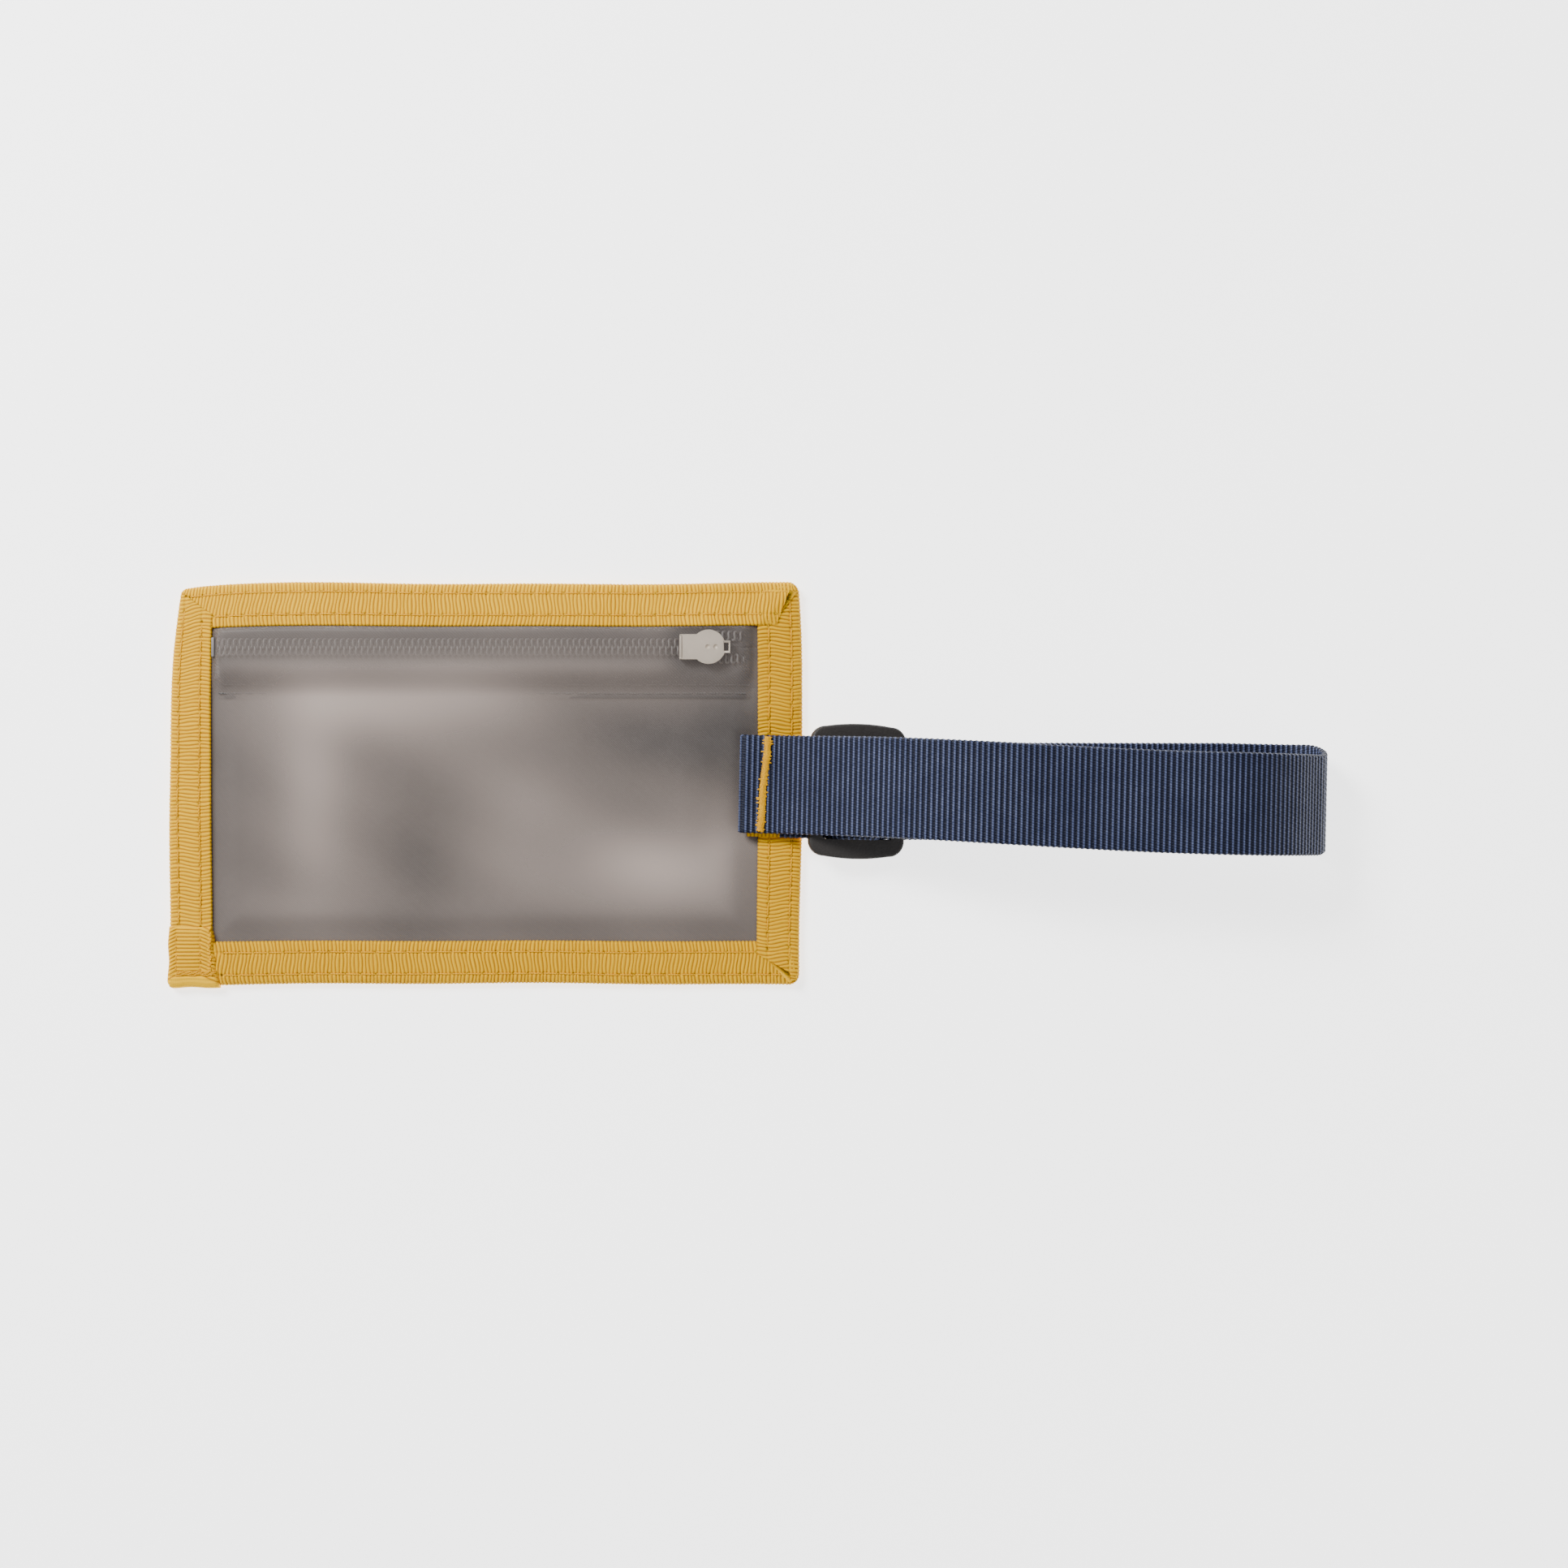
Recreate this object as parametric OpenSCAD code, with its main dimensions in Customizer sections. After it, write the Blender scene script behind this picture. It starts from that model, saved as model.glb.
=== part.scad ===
// Luggage tag: a zipped, windowed pouch with a sewn webbing strap and a triglide buckle.
// +X runs from the pouch to the strap's loop, +Y across the tag, +Z up through the window.
// The tag lies on its back on the plane z = 0, and all lengths are in millimetres.

/* [Pouch] */
// Length of the pouch along the strap's direction
pouch_len = 124.8; // [110:0.1:140]
// Width of the pouch across the strap's direction
pouch_wid = 79.4; // [70:0.1:95]
// Visible width of the folded binding tape
bind_w = 8.7; // [7:0.1:10]
// Thickness of one layer of binding tape
tape_t = 0.5; // [0.3:0.05:0.7]
// Thickness of the whole bound edge
bind_t = 2.0; // [1.9:0.1:2.6]
// Thickness of the frosted window film
film_t = 0.3; // [0.2:0.05:0.4]
// Thickness of the back panel and the zipper tapes
panel_t = 0.4; // [0.3:0.05:0.5]

/* [Zipper] */
// Distance of the zipper's centre line from the tag's centre line
zip_y = 26.8; // [24:0.1:26.8]
// Width of one row of coil
coil_w = 1.9; // [1.5:0.05:2.0]
// Thickness of the coil
coil_t = 1.2; // [0.9:0.05:1.2]
// Width of the lower zipper tape that shows inside the pouch
zip_tape_w = 10.0; // [8:0.5:12]
// Length of the slider's body
slider_len = 9.0; // [8:0.1:10]
// Width of the slider's wide end
slider_wid = 6.7; // [6:0.1:6.7]
// Length of the pull tab from its pivot
pull_len = 16.0; // [12:0.5:18]

/* [Strap] */
// Width of the webbing
strap_w = 19.05; // [16:0.05:20]
// Thickness of the webbing
strap_t = 1.2; // [1.0:0.1:1.4]
// Angle by which the strap lies off the tag's centre line
strap_skew = 1.3; // [0:0.1:2]
// Angle at which the strap rises off the pouch
rise_angle = 25; // [20:1:28]
// Angle of the strap's nearly level top
crest_angle = 3; // [2:0.5:5]
// Radius of the bend between the rise and the top
crest_r = 70; // [60:1:80]
// Radius of the bend over the far end of the top
fall_r = 24; // [20:1:28]
// Angle at which the strap falls to its tip
fall_angle = 45; // [40:1:50]
// Length of the straight fall above the tip
fall_len = 5; // [3:0.5:8]
// Radius of the tip's bend at the middle of the webbing
tip_r = 7; // [6:0.5:9]

/* [Buckle] */
// Length of the buckle along the strap
buckle_len = 18.9; // [18:0.1:20]
// Width of the buckle across the strap
buckle_wid = 26.5; // [25:0.1:28]
// Thickness of the buckle
buckle_t = 2.4; // [2:0.1:2.6]
// Length of each slot along the strap
slot_len = 5.0; // [4.8:0.1:5.2]
// Width of the centre bar along the strap
bar_len = 3.6; // [3.2:0.1:3.8]
// Angle at which the buckle leans, with its pouch end up
buckle_lean = 9; // [8:0.5:10]

/* [Hidden] */
$fn = 64;
gap = 0.05;

// The tag's left end and the strap's tip lie at equal distances from x = 0.
tag_half = 113.2;
left_x = -tag_half;
right_x = left_x + pouch_len;
half_y = pouch_wid / 2;
win_left = left_x + bind_w;
win_y = half_y - bind_w;

// Heights inside the bound edge, from the film down
film_z = bind_t - tape_t - film_t;
seam_z = film_z - panel_t;

// Heights of the zipper, which the slider's crown holds off the resting plane
crown_z = 0.15;
crown_bar_t = 0.6;
crown_gap = 1.2;
plate_t = 0.8;
plate_z = crown_z + crown_bar_t + crown_gap;
zip_z = plate_z + plate_t + 0.2;
coil_z = zip_z + panel_t;
top_plate_z = coil_z + coil_t + 0.15;
slider_top = top_plate_z + plate_t;
roof_z = slider_top + 0.3;

// The raised middle of the pouch stops short of the sewn strap.
roof_right = -1.5;
roof_left = win_left;
slider_right = -2.4;
slider_left = slider_right - slider_len - 1.0;
slider_mid = slider_left + slider_len - slider_wid / 2;
coil_right = roof_right - film_t;
seam_y = zip_y - zip_tape_w;

// The bridge under the slider, and the pull tab's pivot inside it
crown_w = 1.6;
crown_len = 5.0;
pull_x = slider_mid - 0.6;
pull_z = crown_z + crown_bar_t + crown_gap / 2;

// Sewn stack of the strap on the pouch
fold_x = -0.8;
rise_x = 6.3;
tab_t = 2 * tape_t;
tab_top = bind_t + tab_t;
anchor_top = tab_top + 2 * strap_t;
tab_shift = -0.8;
skew_x = 2;

// Middle line of the strap's loop, worked back from the tip
tip_c = [tag_half - 0.2 - tip_r - strap_t / 2, tip_r + strap_t / 2];
rise_p = [rise_x + 0.3, anchor_top - strap_t / 2];
fall_p = tip_c + tip_r * [cos(fall_angle), sin(fall_angle)];
fall_top = fall_p + fall_len * [-sin(fall_angle), cos(fall_angle)];
fall_c = fall_top - fall_r * [sin(fall_angle), cos(fall_angle)];
crest_end = fall_c + fall_r * [-sin(crest_angle), cos(crest_angle)];
bend = crest_r * [sin(rise_angle) - sin(crest_angle), cos(crest_angle) - cos(rise_angle)];
span = crest_end - rise_p - bend;
turn = sin(rise_angle - crest_angle);
crest_len = (span.x * sin(rise_angle) - span.y * cos(rise_angle)) / turn;
rise_len = (span.y * cos(crest_angle) - span.x * sin(crest_angle)) / turn;
crest_start = crest_end - crest_len * [cos(crest_angle), sin(crest_angle)];
crest_c = crest_start + crest_r * [sin(crest_angle), -cos(crest_angle)];

// Buckle frame: u along the buckle, w up from its underside
buckle_x = 22.1;
thread_end = 10.2;
slot_u = 6.3;
over_u = 2.9;
near_u = -9.9;
thread_w = -strap_t / 2 - 0.1;
buckle_z = 0.04 + thread_end * sin(buckle_lean) + (strap_t + 0.1) * cos(buckle_lean);
loop_start = buckle_x + thread_end + 0.1;
ring_gap = 0.1;
ring_half = bar_len / 2 + ring_gap + tape_t;
ring_top = buckle_t + ring_gap + tape_t;
over_w = ring_top + gap + strap_t / 2;
tab_w = thread_w - strap_t / 2 - gap - tab_t / 2;
function to_buckle(p) = let (d = p - [buckle_x, buckle_z])
    [d.x * cos(buckle_lean) - d.y * sin(buckle_lean),
     d.x * sin(buckle_lean) + d.y * cos(buckle_lean)];

yellow = "goldenrod";
navy = "midnightblue";

// Extrudes an outline drawn in x and z across the tag, w wide.
module across(w) {
    rotate([90, 0, 0]) linear_extrude(w, center = true) children();
}

// A box from its lowest to its highest corner
module block(low, high) {
    translate(low) cube(high - low);
}

// A straight run of webbing t thick, from p at an angle
module band_line(p, len, angle, t = strap_t) {
    translate(p) rotate(angle) translate([0, -t / 2]) square([len, t]);
}

// A bent run of webbing about the centre c, between two angles
module band_arc(c, r, a0, a1) {
    reach = 3 * r;
    mid = (a0 + a1) / 2;
    translate(c) intersection() {
        difference() {
            circle(r + strap_t / 2, $fn = 180);
            circle(r - strap_t / 2, $fn = 180);
        }
        polygon([[0, 0], for (a = [a0, mid, a1]) reach * [cos(a), sin(a)]]);
    }
}

// A run of webbing t thick along a line of points, round at the inner ones
module band_path(points, t) {
    last = len(points) - 1;
    for (i = [0 : last - 1]) {
        d = points[i + 1] - points[i];
        band_line(points[i], norm(d), atan2(d.y, d.x), t);
    }
    for (i = [1 : 1 : last - 1]) translate(points[i]) circle(d = t);
}

// Turns the strap and its buckle about the place where it is sewn down.
module strap_place(shift = 0) {
    translate([skew_x, shift, 0]) rotate([0, 0, -strap_skew]) translate([-skew_x, 0, 0])
        children();
}

// Puts a shape drawn in the buckle's own frame where the buckle lies.
module buckle_place(shift = 0) {
    strap_place(shift) translate([buckle_x, 0, buckle_z]) rotate([0, buckle_lean, 0]) children();
}

// A rim in the bound edge with a raised middle, t thick, whose walls stand inset from the window
module tray(rim_z, t, top_z, inset, y_high) {
    low = [roof_left + inset, -win_y + inset];
    high = [roof_right - inset, y_high];
    difference() {
        block([left_x + tape_t, -half_y + tape_t, rim_z],
              [right_x - tape_t, half_y - tape_t, rim_z + t]);
        block([low.x, low.y, rim_z - 1], [high.x, high.y, rim_z + t + 1]);
    }
    difference() {
        block([low.x, low.y, rim_z], [high.x, high.y, top_z]);
        block([low.x + t, low.y + t, rim_z - 1], [high.x - t, high.y - t, top_z - t]);
    }
}

module window_film() {
    color("darkgray", 0.6) tray(film_z, film_t, roof_z + film_t, 0, win_y);
}

// The panel ends under the lower zipper tape, where it is open towards the zipper.
module back_panel() {
    lap = 2;
    color("dimgray") difference() {
        tray(seam_z, panel_t, zip_z, film_t + gap, seam_y + lap + panel_t);
        block([left_x, seam_y + lap, seam_z - 1], [right_x, half_y, zip_z + 1]);
    }
}

// The upper tape steps down from the zipper into the binding.
module zipper_tape_upper() {
    color("gray") {
        block([roof_left + 1, zip_y + coil_w / 2, zip_z],
              [coil_right, win_y - film_t, zip_z + panel_t]);
        block([roof_left + 1, win_y - film_t - panel_t, seam_z],
              [coil_right, win_y - film_t, zip_z + panel_t]);
        block([roof_left + 1, win_y - film_t - panel_t, seam_z],
              [coil_right, half_y - tape_t, seam_z + panel_t]);
    }
}

module zipper_tape_lower() {
    color("gray") block([roof_left + panel_t, seam_y, zip_z],
                        [coil_right, zip_y - coil_w / 2, zip_z + panel_t]);
}

// One row of coil, closed up to the slider and spread beyond it
module coil_row(side) {
    spread = slider_wid / 2 - 1;
    translate([0, zip_y, coil_z]) mirror([0, side > 0 ? 0 : 1, 0]) linear_extrude(coil_t)
        polygon([[roof_left + 1, gap / 2], [slider_mid - 2, gap / 2],
                 [slider_mid + 2, spread - coil_w / 2], [coil_right, spread - coil_w / 2],
                 [coil_right, spread + coil_w / 2], [slider_mid + 2, spread + coil_w / 2],
                 [slider_mid - 2, coil_w], [roof_left + 1, coil_w]]);
}

module zipper_coil_upper() {
    color("slategray") coil_row(1);
}

module zipper_coil_lower() {
    color("slategray") coil_row(-1);
}

// The stop that joins the two rows at the open end of the slider's travel
module zipper_stop() {
    stop_len = 1.0;
    color("silver") block([roof_left + panel_t, zip_y - coil_w, coil_z],
                          [roof_left + stop_len, zip_y + coil_w, coil_z + coil_t]);
}

module zipper_seam_stitching() {
    thread = 0.3;
    color("darkgray") block([roof_left + 2, seam_y + 1, coil_z],
                            [coil_right, seam_y + 1 + thread, coil_z + thread / 2]);
}

// A folded tape around one edge, len long and cut at 45 degrees at both ends
module binding(len) {
    intersection() {
        rotate([90, 0, 90]) linear_extrude(len, center = true) difference() {
            translate([-bind_w, 0]) square([bind_w, bind_t]);
            translate([-bind_w - 1, tape_t]) square([bind_w + 1 - tape_t, bind_t - 2 * tape_t]);
        }
        linear_extrude(bind_t) polygon([[-len / 2, 0], [len / 2, 0],
                                        [len / 2 - bind_w, -bind_w], [-len / 2 + bind_w, -bind_w]]);
    }
}

module binding_top() {
    color(yellow) translate([(left_x + right_x) / 2, half_y, 0]) binding(pouch_len);
}

module binding_bottom() {
    color(yellow) translate([(left_x + right_x) / 2, -half_y, 0]) rotate(180) binding(pouch_len);
}

module binding_left() {
    color(yellow) translate([left_x, 0, 0]) rotate(90) binding(pouch_wid);
}

module binding_right() {
    color(yellow) translate([right_x, 0, 0]) rotate(-90) binding(pouch_wid);
}

// The binding's end, turned under and sewn down on the corner where the tape began
module binding_end_fold() {
    fold_w = bind_w - 0.1;
    fold_h = 10.6;
    color(yellow) block([left_x, -half_y, bind_t],
                        [left_x + fold_w, -half_y + fold_h, bind_t + tape_t]);
}

// A row of thread all round the binding, inset from the pouch's edge
module stitch_ring(inset) {
    thread = 0.3;
    translate([(left_x + right_x) / 2, 0, bind_t]) linear_extrude(thread / 2) difference() {
        square([pouch_len - 2 * inset, pouch_wid - 2 * inset], center = true);
        square([pouch_len - 2 * inset - 2 * thread, pouch_wid - 2 * inset - 2 * thread],
               center = true);
        translate([-pouch_len / 2, -half_y]) square(11);
        translate([pouch_len / 2 - 12.6, -10.8]) square([13, 21]);
    }
}

module edge_stitching_outer() {
    color("gold") stitch_ring(2.1);
}

module edge_stitching_inner() {
    color("gold") stitch_ring(6.6);
}

// Outline of one slider plate, with the round wide end towards the open teeth
module slider_outline() {
    neck = 4.9;
    translate([slider_mid, zip_y]) circle(d = slider_wid);
    translate([slider_left, zip_y - neck / 2]) square([slider_len - 2, neck]);
    translate([slider_mid, zip_y - 1.2]) square([slider_right - slider_mid - 0.1, 2.4]);
}

module slider_body() {
    post = 1.4;
    color("lightgray") {
        translate([0, 0, plate_z]) linear_extrude(plate_t) slider_outline();
        translate([0, 0, top_plate_z]) linear_extrude(plate_t) slider_outline();
        translate([slider_mid + 1.2, zip_y, plate_z]) cylinder(d = post, h = slider_top - plate_z);
        translate([0, 0, coil_z + 0.15]) linear_extrude(top_plate_z - coil_z) difference() {
            slider_outline();
            translate([slider_left - 1, zip_y - coil_w - 0.15])
                square([slider_len + 3, 2 * coil_w + 0.3]);
            translate([slider_mid - 2.1, zip_y - slider_wid]) square(2 * slider_wid);
        }
    }
}

// The bridge under the slider that holds the pull tab
module slider_crown() {
    leg = 0.8;
    color("lightgray") translate([pull_x, zip_y, 0]) across(crown_w) difference() {
        translate([-crown_len / 2, crown_z]) square([crown_len, plate_z - crown_z]);
        translate([-crown_len / 2 + leg, crown_z + crown_bar_t])
            square([crown_len - 2 * leg, crown_gap + 1]);
    }
}

// The pull tab: a fork whose cross bar runs through the crown's gap, and a finger plate
module puller_tab() {
    bar_d = 0.7;
    fork_w = 5.0;
    fork_in = 2.6;
    fork_len = 5.5;
    pull_t = 0.7;
    heel = 0.35;
    hole_d = 2.0;
    color("silver") translate([pull_x, zip_y, pull_z]) {
        rotate([90, 0, 0]) cylinder(d = bar_d, h = fork_w - 1, center = true);
        translate([0, 0, -pull_t / 2]) linear_extrude(pull_t) difference() {
            union() {
                translate([-fork_len, -fork_w / 2]) square([fork_len + heel, fork_w]);
                translate([-pull_len + fork_w / 2, -fork_w / 2])
                    square([pull_len - fork_len, fork_w]);
                translate([-pull_len + fork_w / 2, 0]) circle(d = fork_w);
            }
            translate([-fork_len + 1.5, -fork_in / 2]) square([fork_len + 1, fork_in]);
            translate([-pull_len + fork_w / 2, 0]) circle(d = hole_d);
        }
    }
}

// The sewn end of the strap, with its raw end folded under
module strap_anchor() {
    fold_r = strap_t;
    fold_z = tab_top + strap_t;
    color(navy) strap_place() across(strap_w) {
        translate([fold_x + fold_r, fold_z]) difference() {
            circle(fold_r);
            translate([0, -2 * fold_r]) square(4 * fold_r);
        }
        translate([fold_x + fold_r, tab_top])
            square([rise_x - fold_x - fold_r - gap, strap_t]);
        translate([fold_x + fold_r, fold_z]) square([rise_x - fold_x - fold_r - gap, strap_t]);
    }
}

module strap_bartack() {
    tack_len = 1.7;
    color("gold") strap_place()
        block([3.2, -strap_w / 2 + 0.3, anchor_top],
              [3.2 + tack_len, strap_w / 2 - 0.3, anchor_top + 0.3]);
}

// The folded buckle tab where it is sewn between the strap and the pouch
module tab_anchor() {
    tab_left = 1.1;
    color(yellow) strap_place(tab_shift)
        block([tab_left, -strap_w / 2, bind_t], [right_x, strap_w / 2, tab_top]);
}

module strap_rise() {
    color(navy) strap_place() across(strap_w) band_line(rise_p, rise_len, rise_angle);
}

// The loop's stretches, which meet face to face
module strap_shoulder() {
    color(navy) strap_place() across(strap_w)
        band_arc(crest_c, crest_r, 90 + crest_angle, 90 + rise_angle);
}

module strap_top() {
    color(navy) strap_place() across(strap_w) band_line(crest_start, crest_len, crest_angle);
}

module strap_fall() {
    color(navy) strap_place() across(strap_w)
        band_arc(fall_c, fall_r, 90 - fall_angle, 90 + crest_angle);
}

module strap_drop() {
    color(navy) strap_place() across(strap_w) band_line(fall_p, fall_len, 90 + fall_angle);
}

module strap_tip() {
    color(navy) strap_place() across(strap_w) band_arc(tip_c, tip_r, -90, fall_angle);
}

module strap_return() {
    color(navy) strap_place() across(strap_w)
        translate([loop_start, 0]) square([tip_c.x - loop_start, strap_t]);
}

// The stretch that passes under the far bar, over the centre bar and under the near bar
module strap_threaded() {
    color(navy) buckle_place() across(strap_w)
        band_path([[thread_end, thread_w], [slot_u, thread_w], [over_u, over_w],
                   [-over_u, over_w], [-slot_u, thread_w], [near_u, thread_w]], strap_t);
}

// The free end, which lies between the buckle tab and the strap above it
module strap_tail() {
    tail_end = [rise_x + 0.9, tab_top + gap + strap_t / 2];
    color(navy) buckle_place() across(strap_w)
        band_path([[near_u - 5 * gap, thread_w], to_buckle(tail_end)], strap_t);
}

module buckle_tab() {
    inner = ring_half - tape_t;
    bend_u = -5.6;
    end_u = -9.6;
    color(yellow) buckle_place(tab_shift) across(strap_w) {
        difference() {
            translate([-ring_half, -ring_gap - tape_t])
                square([2 * ring_half, ring_top + ring_gap + tape_t]);
            translate([-inner, -ring_gap]) square([2 * inner, buckle_t + 2 * ring_gap]);
        }
        band_path([[-ring_half + tape_t, -ring_gap - tape_t / 2], [bend_u, tab_w],
                   [end_u, tab_w], to_buckle([right_x + 3 * gap, bind_t + tab_t / 2])], tab_t);
    }
}

// Outline of the buckle: a rectangle with round corners and gently bulging ends
module buckle_outline() {
    corner = 3;
    bulge_r = 40;
    half_l = buckle_len / 2;
    half_w = buckle_wid / 2;
    shoulder = half_w - (bulge_r - sqrt(bulge_r * bulge_r - (half_l - corner) * (half_l - corner)));
    translate([-half_l, corner - shoulder]) square([buckle_len, 2 * (shoulder - corner)]);
    translate([corner - half_l, -shoulder]) square([buckle_len - 2 * corner, 2 * shoulder]);
    for (x = [corner - half_l, half_l - corner], y = [corner - shoulder, shoulder - corner])
        translate([x, y]) circle(corner);
    for (s = [-1, 1]) intersection() {
        translate([0, s * (half_w - bulge_r)]) circle(bulge_r, $fn = 180);
        translate([corner - half_l, s > 0 ? 0 : -half_w]) square([buckle_len - 2 * corner, half_w]);
    }
}

module buckle() {
    slot_w = strap_w + 0.87;
    slot_y = 0.6;
    color("dimgray") buckle_place(-1.0) linear_extrude(buckle_t) difference() {
        buckle_outline();
        for (s = [-1, 1]) translate([s * (bar_len + slot_len) / 2, slot_y])
            square([slot_len, slot_w], center = true);
    }
}

window_film();
back_panel();
zipper_tape_upper();
zipper_tape_lower();
zipper_coil_upper();
zipper_coil_lower();
zipper_stop();
zipper_seam_stitching();
binding_top();
binding_bottom();
binding_left();
binding_right();
binding_end_fold();
edge_stitching_outer();
edge_stitching_inner();
slider_body();
slider_crown();
puller_tab();
strap_anchor();
strap_bartack();
tab_anchor();
strap_rise();
strap_shoulder();
strap_top();
strap_fall();
strap_drop();
strap_tip();
strap_return();
strap_threaded();
strap_tail();
buckle_tab();
buckle();
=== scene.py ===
import math

import bmesh
import bpy
import numpy as np
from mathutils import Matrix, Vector


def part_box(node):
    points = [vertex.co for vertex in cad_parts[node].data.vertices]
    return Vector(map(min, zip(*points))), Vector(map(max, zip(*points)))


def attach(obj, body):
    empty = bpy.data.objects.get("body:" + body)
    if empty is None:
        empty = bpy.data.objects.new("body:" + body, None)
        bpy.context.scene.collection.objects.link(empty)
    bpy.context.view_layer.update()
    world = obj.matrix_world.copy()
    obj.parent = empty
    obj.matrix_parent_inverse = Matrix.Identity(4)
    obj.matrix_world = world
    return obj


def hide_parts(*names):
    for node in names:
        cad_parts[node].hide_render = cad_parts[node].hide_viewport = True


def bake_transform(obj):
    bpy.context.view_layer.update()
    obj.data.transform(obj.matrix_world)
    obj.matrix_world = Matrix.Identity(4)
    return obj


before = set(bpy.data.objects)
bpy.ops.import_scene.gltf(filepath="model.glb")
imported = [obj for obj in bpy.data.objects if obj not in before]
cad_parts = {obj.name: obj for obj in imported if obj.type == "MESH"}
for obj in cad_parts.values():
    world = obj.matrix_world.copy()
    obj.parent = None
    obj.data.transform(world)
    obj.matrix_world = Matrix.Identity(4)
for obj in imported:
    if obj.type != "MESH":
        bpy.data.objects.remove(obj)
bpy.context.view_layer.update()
MM = 0.001

# ---------------------------------------------------------------- sizes, from the frame, in mm


def node_box(name):
    low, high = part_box(name)
    return np.array(low) / MM, np.array(high) / MM


TOP_LOW, TOP_HIGH = node_box("binding_top")
LEFT_LOW, LEFT_HIGH = node_box("binding_left")
LEFT, RIGHT, HALF = TOP_LOW[0], TOP_HIGH[0], TOP_HIGH[1]
BIND_W = LEFT_HIGH[0] - LEFT_LOW[0]
BIND_T = TOP_HIGH[2]
TAPE_T = 0.5          # thickness of the binding tape
COIL_LOW, COIL_HIGH = node_box("zipper_coil_upper")
ZIP_Y = COIL_LOW[1] - 0.025
COIL_Z = (COIL_LOW[2] + COIL_HIGH[2]) / 2
LOWER_TAPE_LOW, LOWER_TAPE_HIGH = node_box("zipper_tape_lower")
SLIDER_LOW, SLIDER_HIGH = node_box("slider_body")
PANEL_TOP = node_box("back_panel")[1][2]
TAB_LOW, TAB_HIGH = node_box("tab_anchor")
BUCKLE_LOW, BUCKLE_HIGH = node_box("buckle")
BUCKLE_MID = (BUCKLE_LOW + BUCKLE_HIGH) / 2
BUCKLE_RIM = (2.0, 2.2)             # how much of the buckle lies outside its slots, along x and y
SLOT_HALF = (BUCKLE_HIGH - BUCKLE_LOW)[:2] / 2 - BUCKLE_RIM
RIB = 0.74            # pitch of the binding's ribs
WEB_RIB = 1.06        # pitch of the webbing's ribs
STITCH = 3.0          # length of one lockstitch
ROWS = (2.0, 6.45)    # the stitch rows' distances from the pouch's edge
STITCH_GAP = 0.12     # from a stitch's end to the needle hole
WIN_L, WIN_R, WIN_Y = LEFT + BIND_W, RIGHT - BIND_W, HALF - BIND_W
SEAM_TOP = BIND_T - TAPE_T          # where the window's sheets go in under the binding's top
SEWN_IN = 1.2         # how far they go in
UPPER_TAPE_W = 10.2   # the upper zipper tape, most of it inside the binding
LAP_W, LAP_H = 9.9, 11.6            # the binding's lapped end, at the lower left corner
LAP_OUT = 0.3         # how far it stands out past the pouch's corner
LAP_ROWS = (1.6, 6.4)               # its two rows of stitches, from its left edge
LAP_HEM = 7.9         # where its overcast hem starts
LAP_LOW = 0.35        # height of its underside

rng = np.random.default_rng(7)


def smooth(x, low, high):
    """0 below low, 1 above high, and an S curve between them."""
    t = np.clip((x - low) / (high - low), 0, 1)
    return t * t * (3 - 2 * t)


# ---------------------------------------------------------------- the soft shape of the pouch


def lift(x, y):
    """How far the cloth is held off the table by the slider under the zipper, in mm."""
    edge = np.minimum.reduce([x - LEFT, RIGHT - x, HALF - y, y + HALF]) / BIND_W
    near_zip = 0.35 + 0.65 * smooth(y, -30, 22)
    bump = 0.9 * np.exp(-((x + 7) / 9) ** 2 - ((y - HALF + BIND_W) / 5) ** 2)
    return np.clip(edge, 0, 1) * (1.9 * near_zip + bump) * (1 - 0.8 * under_strap(x, y))


def under_strap(x, y):
    """1 where the sewn end of the strap holds the cloth down, 0 away from it."""
    return smooth(x, -12, -1) * np.exp(-(y / 12) ** 6)


def soften(points):
    """Rounds the corners, lets the edges wander and lifts the cloth towards the zipper."""
    x, y, z = points[:, 0].copy(), points[:, 1].copy(), points[:, 2].copy()
    up = lift(x, y)
    for side_x, side_y, r in ((-1, 1, 1.2), (1, 1, 2.2), (1, -1, 2.2), (-1, -1, 1.0)):
        cx = (LEFT + r) if side_x < 0 else (RIGHT - r)
        cy = side_y * (HALF - r)
        a, b = (x - cx) * side_x, (y - cy) * side_y
        inside = (a > 0) & (b > 0)
        size = np.hypot(a, b) + 1e-9
        pull = np.where(inside, np.maximum(a, b) / size, 1)
        x = np.where(inside, cx + side_x * a * pull, x)
        y = np.where(inside, cy + side_y * b * pull, y)
    v = y / HALF
    from_left, from_right = x - LEFT, RIGHT - x
    dx = 2.4 * np.clip((v - 0.2) / 0.8, 0, 1) ** 2 * np.exp(-from_left / 7)
    dx += 0.12 * np.sin(y / 6.3) * np.exp(-from_left / 9)
    dx -= (0.8 * np.clip((v - 0.55) / 0.45, 0, 1) ** 2 + 0.6 * smooth(-v, 0.1, 0.8)) * np.exp(-from_right / 9)
    dy = -1.5 * np.exp(-from_left / 9) * smooth(v, 0.3, 0.95)
    dy += 0.10 * np.sin(x / 7.1 + 1) * smooth(np.abs(v), 0.5, 1) + 0.22 * np.sin(x / 23) * smooth(v, 0.6, 1)
    dy += 0.35 * smooth(-v, 0.6, 1) * np.sin((x - LEFT) / 40)
    return np.stack([x + dx, y + dy, z + up], axis=1)


# ---------------------------------------------------------------- mesh helpers


def run_length(path):
    """The distance along a line of points to each of them."""
    return np.concatenate([[0], np.cumsum(np.linalg.norm(np.diff(path, axis=0), axis=1))])


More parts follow.
